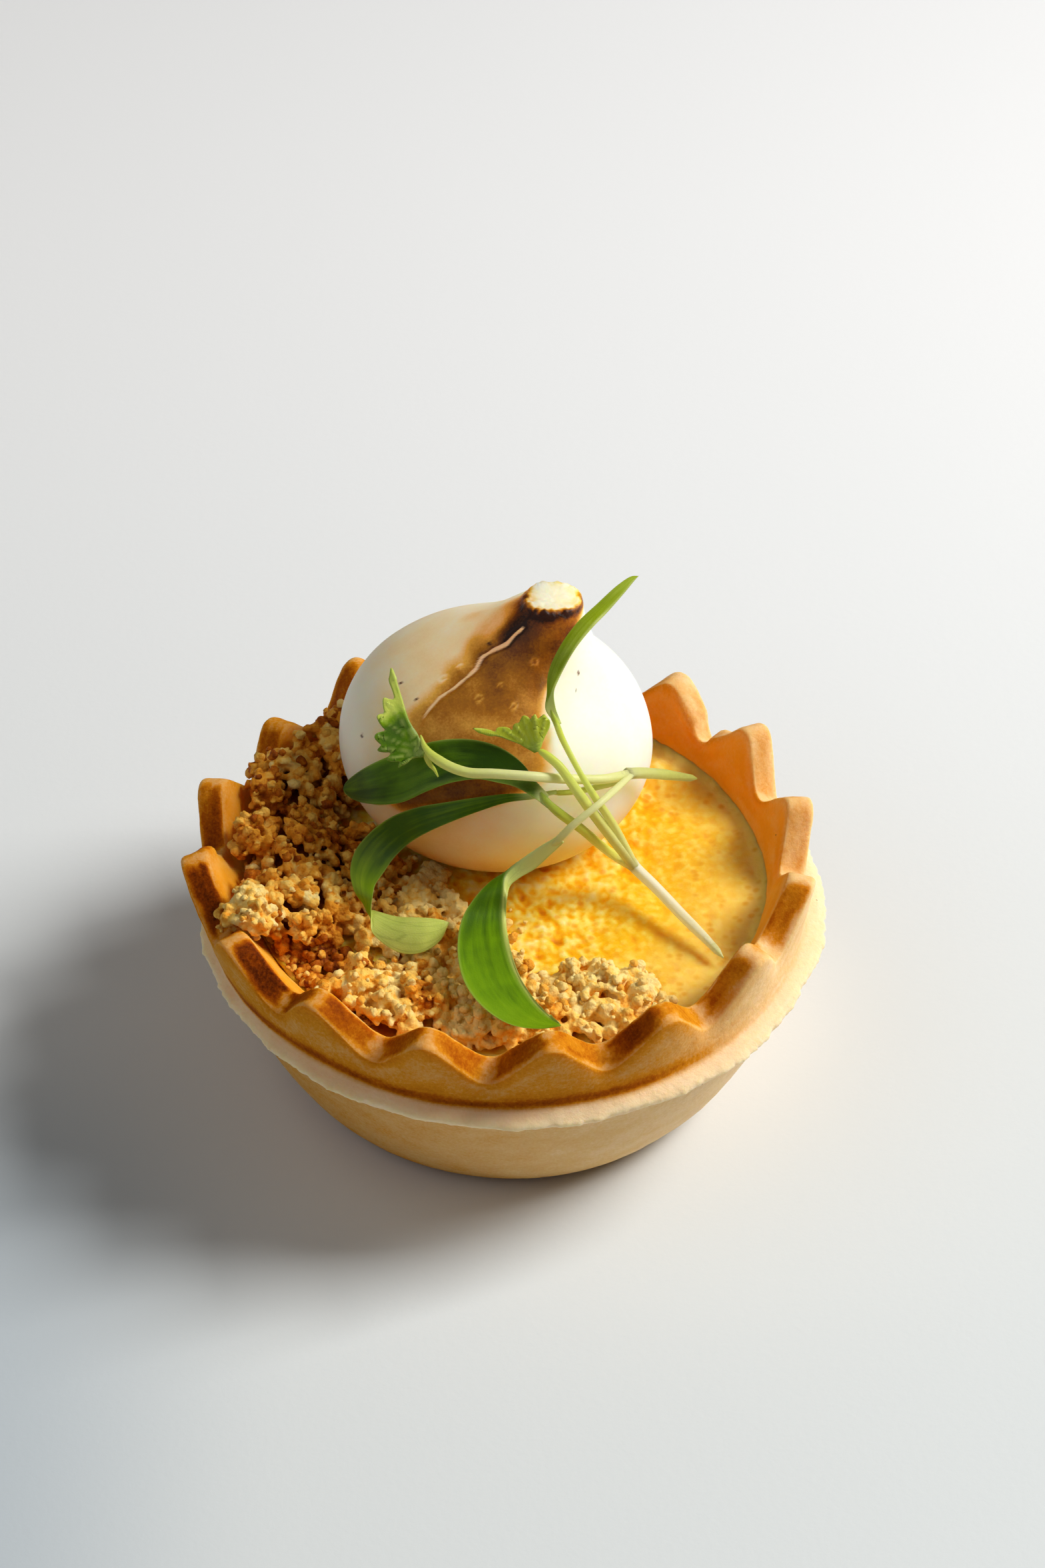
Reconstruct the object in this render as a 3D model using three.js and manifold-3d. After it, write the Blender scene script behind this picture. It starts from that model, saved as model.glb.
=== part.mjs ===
// A small lemon tartlet in millimetres, +Z up, origin at the middle of the base, front towards -Y.
// A pressed pastry case with a pleated rim holds lemon custard. A toasted meringue kiss sits on the
// custard, biscuit crumble covers the left and the front, and two herb sprigs lie over the meringue.
import * as THREE from 'three';
import { mergeVertices } from 'three/addons/utils/BufferGeometryUtils.js';
import Module from 'manifold-3d';

const wasm = await Module();
wasm.setup();

// Driving dimensions of the case
const PLEATS = 16;
const FIRST_RIDGE = -126.57; // degrees from the front, towards +X
const BASE_RADIUS = 18;
const FLANGE_RADIUS = 26.2;
const FLANGE_HEIGHT = 14.8;
const GROOVE_RADIUS = 24.8;
const GROOVE_HEIGHT = 15.8;
const RIDGE = { outer: [26.0, 23.0], inner: [23.7, 23.3] }; // radius and height of a pleat's top
const VALLEY = { outer: [24.7, 18.4], inner: [22.75, 19.7] }; // and of the dip beside it
const CROWN_SHIFT = -0.64; // the pleated rim sits a little to the left of the base
const FLOOR_THICKNESS = 2.4;
const INNER_RADIUS = 21.1; // of the wall where the custard meets it
const CUSTARD_HEIGHT = 17.3;
const GAP = 0.3; // between pieces that lie against each other

// Driving dimensions of what lies on the custard
const BALL_CENTRE = new THREE.Vector3(-1.4, 9.1, 25.3);
const BALL_RADII = new THREE.Vector3(13.1, 12.5, 9.5);
const TIP_CENTRE = new THREE.Vector3(3.3, 10.5, 39.3);
const TIP_RADIUS = 2.5;
const STEM_DIAMETER = 0.95;
const PETIOLE_DIAMETER = 0.8;
const LEAF_THICKNESS = 0.36;

const radians = THREE.MathUtils.degToRad;
const mix = THREE.MathUtils.lerp;

// A repeatable stream of numbers from 0 to 1.
function randomStream(seed) {
  let state = seed;
  return () => {
    state = (state * 1664525 + 1013904223) % 4294967296;
    return state / 4294967296;
  };
}

// A closed solid through rings of equal point count, from a first pole to a last one.
function loft(firstPole, rings, lastPole) {
  const count = rings[0].length;
  const points = [firstPole, ...rings.flat(), lastPole];
  const last = points.length - 1;
  const at = (ring, i) => 1 + ring * count + (i % count);
  const faces = [];
  for (let i = 0; i < count; i++) {
    faces.push(0, at(0, i + 1), at(0, i));
    faces.push(last, at(rings.length - 1, i), at(rings.length - 1, i + 1));
    for (let ring = 0; ring < rings.length - 1; ring++) {
      faces.push(at(ring, i), at(ring, i + 1), at(ring + 1, i));
      faces.push(at(ring, i + 1), at(ring + 1, i + 1), at(ring + 1, i));
    }
  }
  const geometry = new THREE.BufferGeometry();
  geometry.setAttribute('position', new THREE.Float32BufferAttribute(points.flatMap((p) => p.toArray()), 3));
  geometry.setIndex(volumeOf(points, faces) > 0 ? faces : faces.reverse());
  return geometry;
}

function volumeOf(points, faces) {
  let volume = 0;
  for (let i = 0; i < faces.length; i += 3) {
    const [a, b, c] = [points[faces[i]], points[faces[i + 1]], points[faces[i + 2]]];
    volume += a.dot(new THREE.Vector3().crossVectors(b, c)) / 6;
  }
  return volume;
}

function toSolid(geometry) {
  const bare = geometry.clone();
  bare.deleteAttribute('normal');
  bare.deleteAttribute('uv');
  const merged = mergeVertices(bare, 1e-4);
  const vertProperties = new Float32Array(merged.attributes.position.array);
  const triVerts = new Uint32Array(merged.index.array);
  return new wasm.Manifold(new wasm.Mesh({ numProp: 3, vertProperties, triVerts }));
}

function toGeometry(solid) {
  const mesh = solid.getMesh();
  const geometry = new THREE.BufferGeometry();
  geometry.setAttribute('position', new THREE.BufferAttribute(mesh.vertProperties, 3));
  geometry.setIndex(new THREE.BufferAttribute(mesh.triVerts, 1));
  return geometry;
}

function joined(geometries) {
  return geometries.map(toSolid).reduce((all, solid) => all.add(solid));
}

function mesh(name, geometry, colour, roughness) {
  const material = new THREE.MeshStandardMaterial({ color: colour, roughness, metalness: 0 });
  const made = new THREE.Mesh(geometry, material);
  made.name = name;
  return made;
}

// The point at an angle from the front, towards +X.
function around(angle, radius, height, shift = 0) {
  return new THREE.Vector3(shift + radius * Math.sin(angle), -radius * Math.cos(angle), height);
}

// Four columns to a pleat: the two edges of its narrow top and of the dip beside it.
function columnAngles() {
  const angles = [];
  for (let pleat = 0; pleat < PLEATS; pleat++) {
    for (const part of [-0.07, 0.07, 0.43, 0.57]) {
      angles.push(radians(FIRST_RIDGE + (pleat + part) * (360 / PLEATS)));
    }
  }
  return angles;
}

// 1 on a pleat's top and 0 in the dip.
function pleatWave(angle) {
  const turn = (THREE.MathUtils.radToDeg(angle) - FIRST_RIDGE) * (PLEATS / 360);
  const off = Math.abs(turn - Math.round(turn));
  return THREE.MathUtils.clamp((0.43 - off) / 0.36, 0, 1);
}

function nearAngle(angle, middle, width) {
  const away = THREE.MathUtils.euclideanModulo(THREE.MathUtils.radToDeg(angle) - middle + 180, 360) - 180;
  return Math.exp(-((away / width) ** 2));
}

// Hand-pressed pastry: the rim bulges at the left, and draws in and sinks a little behind it.
function rimSwell(angle) {
  return 0.85 * nearAngle(angle, -84, 30) - 0.8 * nearAngle(angle, -127, 14) + 0.1 * Math.sin(5 * angle + 1);
}

function rimLift(angle) {
  return 0.15 * Math.sin(7 * angle) - 0.8 * nearAngle(angle, -127, 16) - 0.5 * nearAngle(angle, 143, 14);
}

function flangeSwell(angle) {
  return 0.14 * Math.sin(9 * angle + 1) + 0.1 * Math.sin(23 * angle + 2);
}

function roundRing(radius, height, angles, swell = () => 0) {
  return angles.map((angle) => around(angle, radius + swell(angle), height));
}

function crownRing(top, dip, angles, share = 1) {
  return angles.map((angle) => {
    const wave = pleatWave(angle);
    const radius = mix(dip[0], top[0], wave) + share * rimSwell(angle);
    return around(angle, radius, mix(dip[1], top[1], wave) + share * rimLift(angle), share * CROWN_SHIFT);
  });
}

function pastryCase() {
  const angles = columnAngles();
  const pole = (height) => new THREE.Vector3(0, 0, height);
  const outside = [
    roundRing(BASE_RADIUS - 1.2, 0, angles),
    roundRing(BASE_RADIUS, 0.2, angles),
    roundRing(BASE_RADIUS + 0.6, 0.9, angles),
    roundRing(20.5, 3.6, angles),
    roundRing(22.3, 7.2, angles),
    roundRing(23.7, 10.8, angles),
    roundRing(24.7, 13.5, angles),
    roundRing(25.5, FLANGE_HEIGHT - 0.6, angles),
    roundRing(FLANGE_RADIUS - 0.1, FLANGE_HEIGHT - 0.2, angles, flangeSwell),
    roundRing(FLANGE_RADIUS, FLANGE_HEIGHT + 0.2, angles, flangeSwell),
    roundRing(FLANGE_RADIUS - 0.8, FLANGE_HEIGHT + 0.7, angles),
    crownRing([GROOVE_RADIUS, GROOVE_HEIGHT], [GROOVE_RADIUS, GROOVE_HEIGHT], angles, 0.4),
    crownRing([GROOVE_RADIUS + 0.1, GROOVE_HEIGHT + 1.4], [GROOVE_RADIUS, GROOVE_HEIGHT + 1.1], angles, 0.7),
  ];
  const crown = [
    crownRing(RIDGE.outer, VALLEY.outer, angles),
    crownRing(RIDGE.inner, VALLEY.inner, angles),
    crownRing([22.5, 20.6], [22.1, 18.8], angles, 0.8),
  ];
  const pressed = loft(pole(0), [...outside, ...crown, ...cavityRings(angles, 0)], pole(FLOOR_THICKNESS));
  return toGeometry(joined([pressed, ...RIM_LUMPS.map(rimLump)]));
}

// Lumps of dough that stand on the pressed rim: angle, radius, height and half widths.
const RIM_LUMPS = [
  { angle: -86, radius: 24.5, height: 22.7, size: [0.9, 1.1, 0.9] },
  { angle: 136, radius: 24.2, height: 21.0, size: [1.5, 1.3, 1.4] },
  { angle: 129, radius: 24.0, height: 19.9, size: [1.2, 0.9, 0.9] },
];

function rimLump({ angle, radius, height, size }) {
  const lump = new THREE.IcosahedronGeometry(1, 1);
  lump.scale(...size);
  const place = around(radians(angle), radius, height, CROWN_SHIFT);
  return lump.rotateZ(radians(angle)).translate(place.x, place.y, place.z);
}

// The inside of the case from the custard's edge down to the floor, drawn in by a gap.
function cavityRings(angles, gap) {
  return [
    crownRing([INNER_RADIUS + 0.3 - gap, 18], [INNER_RADIUS + 0.3 - gap, 18], angles, 0.4),
    roundRing(INNER_RADIUS - 0.1 - gap, CUSTARD_HEIGHT - 0.9, angles),
    roundRing(20.5 - gap, 12, angles),
    roundRing(19.2 - gap, 7, angles),
    roundRing(17.5 - gap, 3.6, angles),
    roundRing(16.4 - gap, FLOOR_THICKNESS + gap, angles),
  ];
}

function custardFilling() {
  const angles = columnAngles();
  const surface = (radius) => angles.map((angle) => {
    const ripple = 0.06 * Math.sin(3 * angle + radius) + 0.05 * Math.sin(7 * angle + 0.5 * radius);
    return around(angle, radius, CUSTARD_HEIGHT - 0.12 + ripple);
  });
  const edge = roundRing(INNER_RADIUS - GAP, CUSTARD_HEIGHT - 0.1, angles);
  const below = cavityRings(angles, GAP).slice(1);
  const rings = [surface(6), surface(12), surface(17), surface(20), edge, ...below];
  const top = new THREE.Vector3(0, 0, CUSTARD_HEIGHT - 0.12);
  return loft(top, rings, new THREE.Vector3(0, 0, FLOOR_THICKNESS + GAP));
}

// One level of the meringue: its height, the middle of it in X and Y, and its half widths.
function meringueLevels(grow) {
  const levels = [];
  for (const degrees of [-55, -42, -28, -14, 0, 14, 28, 40]) {
    const rise = Math.sin(radians(degrees));
    const reach = Math.cos(radians(degrees)) ** 0.82;
    levels.push([BALL_CENTRE.z + rise * BALL_RADII.z, BALL_CENTRE.x - 0.5 * rise, BALL_CENTRE.y,
      reach * BALL_RADII.x, reach * BALL_RADII.y]);
  }
  levels.push([33.2, -1.3, 9.4, 8.7, 7.9]);
  levels.push([34.8, 0.0, 9.8, 6.8, 5.7]);
  levels.push([36.3, 1.5, 10.1, 4.8, 4.1]);
  levels.push([37.8, 2.6, 10.3, 3.3, 3.1]);
  levels.push([39.0, TIP_CENTRE.x, TIP_CENTRE.y, TIP_RADIUS, TIP_RADIUS - 0.2]);
  levels.push([TIP_CENTRE.z, TIP_CENTRE.x, TIP_CENTRE.y, TIP_RADIUS - 0.5, TIP_RADIUS - 0.7]);
  return levels.map(([z, x, y, wide, deep]) => [z, x, y, wide + grow, deep + grow]);
}

function meringueKiss(grow = 0) {
  const sides = 32;
  const rings = meringueLevels(grow).map(([z, x, y, wide, deep]) => {
    const ring = [];
    for (let i = 0; i < sides; i++) {
      const angle = (i / sides) * 2 * Math.PI;
      ring.push(new THREE.Vector3(x + wide * Math.cos(angle), y + deep * Math.sin(angle), z));
    }
    return ring;
  });
  const bottom = new THREE.Vector3(BALL_CENTRE.x, BALL_CENTRE.y, rings[0][0].z - grow);
  const top = new THREE.Vector3(TIP_CENTRE.x, TIP_CENTRE.y, TIP_CENTRE.z - 0.3 + grow);
  return loft(bottom, rings, top);
}

// The crumble's mounds: middle in X and Y, half widths, and how high the mound stands on the custard.
const MOUNDS = [
  { name: 'behind the meringue', at: [-15.8, 13.4], size: [5.6, 5.2], height: 4.7, pieces: 10 },
  { name: 'left behind', at: [-18.6, 8.4], size: [4.8, 5.2], height: 4.7, pieces: 12 },
  { name: 'left', at: [-18.2, 1.8], size: [5.0, 5.6], height: 4.2, pieces: 14 },
  { name: 'pale clump', at: [-17.6, -5.0], size: [5.2, 4.4], height: 4.0, pieces: 14 },
  { name: 'over the rim', at: [-20.4, -6.4], size: [3.4, 3.2], height: 4.3, pieces: 5 },
  { name: 'beside the meringue', at: [-13.4, 0.8], size: [4.4, 5.0], height: 2.4, pieces: 9 },
  { name: 'under the curled leaf', at: [-9.2, -4.8], size: [5.6, 4.6], height: 1.5, pieces: 10 },
  { name: 'front left', at: [-11.4, -15.2], size: [5.6, 4.4], height: 2.2, pieces: 11 },
  { name: 'dough lump', at: [-7.2, -15.4], size: [2.7, 2.3], height: 2.7, pieces: 2 },
  { name: 'middle', at: [-4.4, -10.6], size: [5.6, 5.8], height: 1.5, pieces: 8 },
  { name: 'front', at: [-0.6, -16.4], size: [6.2, 4.2], height: 1.9, pieces: 10 },
  { name: 'front right', at: [6.8, -14.6], size: [6.4, 4.6], height: 1.4, pieces: 10 },
];

function moundBody(mound) {
  const ball = new THREE.SphereGeometry(1, 12, 8);
  ball.rotateX(Math.PI / 2);
  ball.scale(mound.size[0], mound.size[1], mound.height);
  ball.translate(mound.at[0], mound.at[1], CUSTARD_HEIGHT);
  return ball;
}

// One broken piece of biscuit, a few millimetres across, sunk into its mound.
function biscuitPiece(mound, random) {
  const reach = Math.sqrt(random()) * 0.86;
  const angle = random() * 2 * Math.PI;
  const size = mix(0.7, 1.5, random() ** 1.6);
  const piece = new THREE.IcosahedronGeometry(size, 0);
  piece.scale(mix(0.8, 1.25, random()), mix(0.8, 1.25, random()), mix(0.7, 1.0, random()));
  piece.rotateX(random() * 3);
  piece.rotateZ(random() * 3);
  const lift = mound.height * Math.sqrt(1 - reach * reach);
  const x = mound.at[0] + mound.size[0] * reach * Math.cos(angle);
  const y = mound.at[1] + mound.size[1] * reach * Math.sin(angle);
  piece.translate(x, y, CUSTARD_HEIGHT + Math.max(lift - 0.2 * size, 0.5));
  return piece;
}

// The room that the crumble may fill: above the custard and clear of the rim.
function crumbleRoom() {
  const angles = columnAngles();
  const rings = [
    roundRing(INNER_RADIUS - GAP - 0.1, CUSTARD_HEIGHT + GAP, angles),
    crownRing([20.8, 18.2], [20.8, 18.2], angles, 0.4),
    crownRing([21.9, 20.9], [21.4, 19.3], angles, 0.7),
    crownRing([22.7, 22.9], [21.9, 20.4], angles),
    crownRing([23.2, 24.8], [23.8, 21.3], angles),
    crownRing([22.0, 26.0], [22.6, 25.0], angles),
  ];
  return loft(new THREE.Vector3(0, 0, CUSTARD_HEIGHT + GAP), rings, new THREE.Vector3(0, 0, 26));
}

function biscuitCrumble() {
  const random = randomStream(41);
  const bodies = MOUNDS.map(moundBody);
  for (const mound of MOUNDS) {
    for (let i = 0; i < mound.pieces; i++) bodies.push(biscuitPiece(mound, random));
  }
  const heap = joined(bodies).intersect(toSolid(crumbleRoom())).subtract(toSolid(meringueKiss(0.45)));
  return toGeometry(heap);
}

const vector = ([x, y, z]) => new THREE.Vector3(x, y, z);
const curveThrough = (points) => new THREE.CatmullRomCurve3(points.map(vector), false, 'centripetal');

// A round stem along a curve.
function stem(points, diameter, steps) {
  const section = new THREE.Shape();
  section.absarc(0, 0, diameter / 2, 0, 2 * Math.PI, false);
  return new THREE.ExtrudeGeometry(section, {
    steps, curveSegments: 6, extrudePath: curveThrough(points), bevelEnabled: false,
  });
}

// A seed leaf: a thin curved blade along a line, its top looking along each of the given directions in turn.
function seedLeaf({ line, width, widest, looks, cup }) {
  const curve = curveThrough(line);
  const stations = 14;
  const across = 4;
  const rings = [];
  for (let i = 1; i < stations; i++) {
    const along = i / stations;
    const middle = curve.getPoint(along);
    const tangent = curve.getTangent(along);
    const look = lookAlong(looks, along);
    const side = new THREE.Vector3().crossVectors(look, tangent).normalize();
    const up = new THREE.Vector3().crossVectors(tangent, side).normalize();
    const half = bladeHalfWidth(along, width, widest);
    rings.push(bladeSection(middle, side, up, half, cup, across));
  }
  return loft(curve.getPoint(0), rings, curve.getPoint(1));
}

function lookAlong(looks, along) {
  const place = Math.min(along * (looks.length - 1), looks.length - 1.0001);
  const first = Math.floor(place);
  return vector(looks[first]).lerp(vector(looks[first + 1]), place - first).normalize();
}

// Narrow where the blade leaves its stalk, widest at a share of its length, round or pointed at the tip.
function bladeHalfWidth(along, width, widest) {
  const share = along < widest ? along / widest : 1 - (along - widest) / (1 - widest);
  return Math.max((width / 2) * Math.sin((share * Math.PI) / 2) ** 0.8, 0.3);
}

// The blade's section: its top from side to side and its underside back, alike.
function bladeSection(middle, side, up, half, cup, across) {
  const top = [];
  const under = [];
  for (let i = 0; i <= across; i++) {
    const place = (2 * i) / across - 1;
    const dip = cup * half * (place * place - 0.5);
    const thick = LEAF_THICKNESS * (1 - 0.45 * place * place);
    const point = middle.clone().addScaledVector(side, place * half).addScaledVector(up, dip);
    top.push(point.clone().addScaledVector(up, thick / 2));
    under.unshift(point.clone().addScaledVector(up, -thick / 2));
  }
  return [...top, ...under];
}

// A lobed true leaf cut from an outline: (along, sideways) in millimetres from the end of its stalk.
function trueLeaf({ outline, base, along, sideways }) {
  const shape = new THREE.Shape(outline.map(([up, side]) => new THREE.Vector2(side, up)));
  const leaf = new THREE.ExtrudeGeometry(shape, { depth: LEAF_THICKNESS, steps: 1, bevelEnabled: false });
  leaf.translate(0, 0, -LEAF_THICKNESS / 2);
  const up = vector(along).normalize();
  const facing = new THREE.Vector3().crossVectors(vector(sideways), up).normalize();
  const side = new THREE.Vector3().crossVectors(up, facing);
  leaf.applyMatrix4(new THREE.Matrix4().makeBasis(side, up, facing).setPosition(vector(base)));
  return leaf;
}

// The sprig at the right: a pale stem from the custard up to a node, and three stalks over the meringue.
function rightSprig() {
  const node = [10.1, -1.4, 20.2];
  const stalks = [
    stem([[17.2, -10, 18.1], [13.8, -5.6, 18.9], node, [9.2, -1.4, 22.0]], STEM_DIAMETER, 12),
    stem([node, [8.3, -1.7, 25.0], [6.7, -2.9, 29.3], [5.5, -2.2, 31.3], [4.1, -0.1, 33.0], [3.3, 1.5, 34.1],
      [2.9, 2.8, 35.1]], PETIOLE_DIAMETER, 14),
    stem([node, [7.6, -2.2, 25.1], [6.0, -3.4, 29.0], [4.9, -3.2, 30.9], [3.8, -2.5, 32.3], [2.8, -1.9, 32.9],
      [1.9, -1.2, 33.2]], PETIOLE_DIAMETER, 14),
    stem([node, [8.6, -0.6, 20.6], [7.2, -1.3, 22.6], [5.5, -3.2, 26.2], [3.9, -3.9, 28.4], [2.3, -3.5, 30.0],
      [1.2, -2.1, 31.0], [0.1, -1.5, 31.7]], PETIOLE_DIAMETER, 16),
  ];
  const narrow = seedLeaf({
    line: [[3.1, 2.4, 34.7], [3.4, 3.9, 36.1], [4.1, 5.2, 38.1], [5.4, 6.6, 39.4], [6.9, 8.2, 40.3],
      [8.5, 9.3, 41.1], [10.2, 10.3, 41.8]],
    width: 1.9, widest: 0.5, cup: 0.25, looks: [[-0.6, -0.7, 0.4], [-0.4, -0.75, 0.55], [-0.2, -0.75, 0.65]],
  });
  const broad = seedLeaf({
    line: [[0.6, -1.9, 31.4], [-1.2, -1.5, 31.9], [-3.7, -1.5, 31.8], [-7.0, -1.3, 30.8], [-10.8, -0.4, 28.3],
      [-13.9, 2.5, 25.1]],
    width: 5.1, widest: 0.5, cup: 0.2, looks: [[0, -0.8, 0.6], [0, -0.75, 0.66], [-0.2, -0.8, 0.55]],
  });
  const fan = trueLeaf({
    base: [2.1, -1.4, 33.0], along: [-0.1, 0.5, 0.85], sideways: [-1, 0.05, -0.1],
    outline: [[-0.3, 0.3], [0.6, 1.4], [1.3, 3.1], [1.6, 4.8], [2.2, 5.4], [2.1, 4.2], [1.8, 3.2], [2.2, 2.8],
      [2.0, 2.1], [2.5, 1.9], [2.6, 1.3], [3.2, 1.0], [2.8, 0.4], [3.4, 0], [2.8, -0.3], [3.3, -0.7],
      [2.7, -1.0], [2.1, -1.2], [1.2, -0.7], [-0.3, -0.3]],
  });
  return toGeometry(joined([...stalks, narrow, broad, fan]));
}

// The sprig at the left: its cut end hangs free at the right, and its three stalks run to the left and down.
function leftSprig() {
  const node = [9.9, 1.4, 28.1];
  const stalks = [
    stem([[15.4, 6.2, 23.2], [12.5, 3.9, 25.7], node, [9.2, 0.8, 28.5]], STEM_DIAMETER, 8),
    stem([node, [7.4, -0.9, 29.5], [4.9, -1.8, 30.3], [3.3, -2.6, 31.1], [1.7, -3.2, 31.8], [-1.5, -3.3, 32.2],
      [-3.7, -3.1, 32.2], [-5.6, -2.4, 32.6], [-7.1, -1.3, 33.2]], PETIOLE_DIAMETER, 18),
    stem([node, [8.2, -2.4, 29.5], [6.8, -4.4, 29.7], [4.9, -5.5, 28.7], [2.8, -5.8, 27.1], [1.4, -5.6, 25.3]],
      PETIOLE_DIAMETER, 12),
    stem([node, [8.6, 0.5, 28.0], [7.1, -0.6, 28.4], [4.9, -1.8, 28.9], [2.6, -2.7, 29.1]], PETIOLE_DIAMETER, 8),
  ];
  const hanging = seedLeaf({
    line: [[2.2, -5.8, 26.5], [0.2, -5.5, 23.6], [-1.6, -8.0, 22.6], [-2.5, -12.0, 22.2], [-1.8, -16.6, 21.6],
      [0.6, -19.4, 21.2], [3.9, -20.7, 21.3]],
    width: 4.9, widest: 0.56, cup: 0.15,
    looks: [[0.7, 0.5, -0.5], [0.9, -0.1, 0.3], [0.5, -0.55, 0.66], [0.1, -0.6, 0.8], [0, -0.6, 0.8]],
  });
  const curled = seedLeaf({
    line: [[3.0, -2.6, 29.1], [-1.5, -3.3, 28.6], [-7.0, -3.2, 26.9], [-9.9, -2.5, 24.9], [-11.8, -3.3, 23.1],
      [-12.6, -4.8, 21.9], [-12.1, -6.7, 21.1], [-11.0, -8.4, 20.7], [-9.1, -9.7, 20.6], [-7.0, -10.1, 20.8],
      [-5.2, -9.2, 21.3]],
    width: 3.3, widest: 0.8, cup: 0.15,
    looks: [[0, -0.75, 0.65], [0, -0.75, 0.65], [-0.3, -0.7, 0.65], [-0.8, -0.2, 0.3], [-0.3, 0.5, -0.7],
      [0, 0.6, -0.8], [0, 0.6, -0.8]],
  });
  const fan = trueLeaf({
    base: [-6.9, -1.5, 33.0], along: [-0.36, 0.72, 0.6], sideways: [-0.93, 0.05, -0.12],
    outline: [[-0.5, -0.3], [2.2, -0.2], [4.6, 0.1], [7.8, -0.3], [5.9, 1.6], [4.5, 1.4], [4.6, 2.6], [3.4, 2.2],
      [3.1, 3.5], [2.3, 3.0], [1.8, 3.8], [0.9, 3.3], [-0.1, 2.7], [-0.6, 1.4]],
  });
  return toGeometry(joined([...stalks, hanging, curled, fan]));
}

const tartlet = new THREE.Group();
tartlet.add(mesh('pastry_case', pastryCase(), 0xd9964a, 0.75));
tartlet.add(mesh('lemon_custard', custardFilling(), 0xf0b932, 0.5));
tartlet.add(mesh('biscuit_crumble', biscuitCrumble(), 0xd8ac6c, 0.9));
tartlet.add(mesh('meringue_kiss', meringueKiss(), 0xf3ead8, 0.45));
tartlet.add(mesh('herb_sprig_right', rightSprig(), 0x4f8a1c, 0.5));
tartlet.add(mesh('herb_sprig_left', leftSprig(), 0x5c9a22, 0.5));

export default tartlet;
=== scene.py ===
"""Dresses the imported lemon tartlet: its case, custard, crumble, meringue kiss and two herb sprigs.

Sizes are in millimetres in the frame of the solids, with the front towards -Y. A piece becomes metres
when it is finished.
"""
import logging
import math
import random
from dataclasses import dataclass, field
from enum import Enum
from typing import Callable, Sequence, Union

import bmesh
import bpy
from bmesh.types import BMesh, BMVert
from bpy.types import Material, Mesh, Object
from mathutils import Matrix, Vector, noise
from mathutils.bvhtree import BVHTree
from mathutils.kdtree import KDTree


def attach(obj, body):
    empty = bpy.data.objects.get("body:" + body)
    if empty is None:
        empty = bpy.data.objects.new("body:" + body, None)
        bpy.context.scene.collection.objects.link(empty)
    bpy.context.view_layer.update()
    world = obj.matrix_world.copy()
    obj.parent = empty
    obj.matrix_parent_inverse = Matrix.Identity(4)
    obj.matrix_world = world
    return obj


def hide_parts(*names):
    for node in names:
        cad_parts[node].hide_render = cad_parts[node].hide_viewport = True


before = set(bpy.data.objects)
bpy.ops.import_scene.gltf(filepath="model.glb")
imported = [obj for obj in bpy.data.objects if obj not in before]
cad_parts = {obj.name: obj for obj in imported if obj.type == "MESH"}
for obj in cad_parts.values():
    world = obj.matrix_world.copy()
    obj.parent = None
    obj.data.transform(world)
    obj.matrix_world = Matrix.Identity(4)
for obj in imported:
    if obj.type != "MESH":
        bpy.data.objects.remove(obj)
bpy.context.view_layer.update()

log = logging.getLogger("tartlet")

MM = 0.001
# Points closer than this, in millimetres, are merged in new shapes and in copies of solids
WELD = 1e-4
SOLID_WELD = 1e-3
Point = tuple[float, float, float]
Pair = tuple[float, float]
Colour = tuple[float, float, float, float]
Stops = tuple[tuple[float, str], ...]


def mix(low: float, high: float, share: float) -> float:
    """Return the number at a share of the way from low to high."""
    return low + (high - low) * share


def step_between(start: float, end: float, value: float) -> float:
    """Return a smooth step: 0 at start, 1 at end. start may be the larger one."""
    share = min(max((value - start) / (end - start), 0.0), 1.0)
    return share * share * (3 - 2 * share)


def bell(value: float, middle: float, width: float) -> float:
    """Return 1 where a value is at the middle, and less away from it."""
    return math.exp(-(((value - middle) / width) ** 2))


def along_pairs(pairs: Sequence[Pair], place: float) -> float:
    """Read a value off a line through (place, value) pairs that are sorted by place.

    Args:
        pairs: the corners of the line.
        place: where it is read.

    Returns:
        The value, which stays that of the nearest end beyond the line's ends.
    """
    if place <= pairs[0][0]:
        return pairs[0][1]
    for (left, low), (right, high) in zip(pairs, pairs[1:]):
        if place <= right:
            return mix(low, high, (place - left) / (right - left))
    return pairs[-1][1]


def share_along(point: Vector, first: Vector, second: Vector) -> float:
    """Return how far along a stretch its point nearest to a given point lies, from 0 to 1."""
    way = second - first
    return min(max((point - first).dot(way) / way.length_squared, 0.0), 1.0)


def ripple(point: Vector, size: float, seed: float = 0.0) -> float:
    """Return smooth noise between about -1 and 1, with bumps of a given size."""
    return noise.noise(Vector((point.x / size + seed, point.y / size - seed, point.z / size + 2 * seed)))


def near_angle(angle: float, middle: float, width: float) -> float:
    """Return 1 at an angle in degrees and less away from it."""
    away = (math.degrees(angle) - middle + 180) % 360 - 180
    return bell(away, 0.0, width)


def around(angle: float, radius: float, height: float, shift: float = 0.0) -> Vector:
    """Return the point at an angle from the front, towards +X."""
    return Vector((shift + radius * math.sin(angle), -radius * math.cos(angle), height))


def paint(code: str) -> Colour:
    """Turn a screen colour such as #FFCC00 into the linear colour that shaders take.

    Args:
        code: the screen colour.

    Returns:
        Its linear red, green and blue, and a full alpha.
    """
    parts = [int(code[i : i + 2], 16) / 255 for i in (1, 3, 5)]
    linear = [part / 12.92 if part <= 0.04045 else ((part + 0.055) / 1.055) ** 2.4 for part in parts]
    return (*linear, 1.0)


class Slot(Enum):
    """Material slot names."""

    PASTRY = "pastry"
    CUSTARD = "custard"
    CRUMBLE = "crumble"
    MERINGUE = "meringue"
    HERB = "herb"


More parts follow.
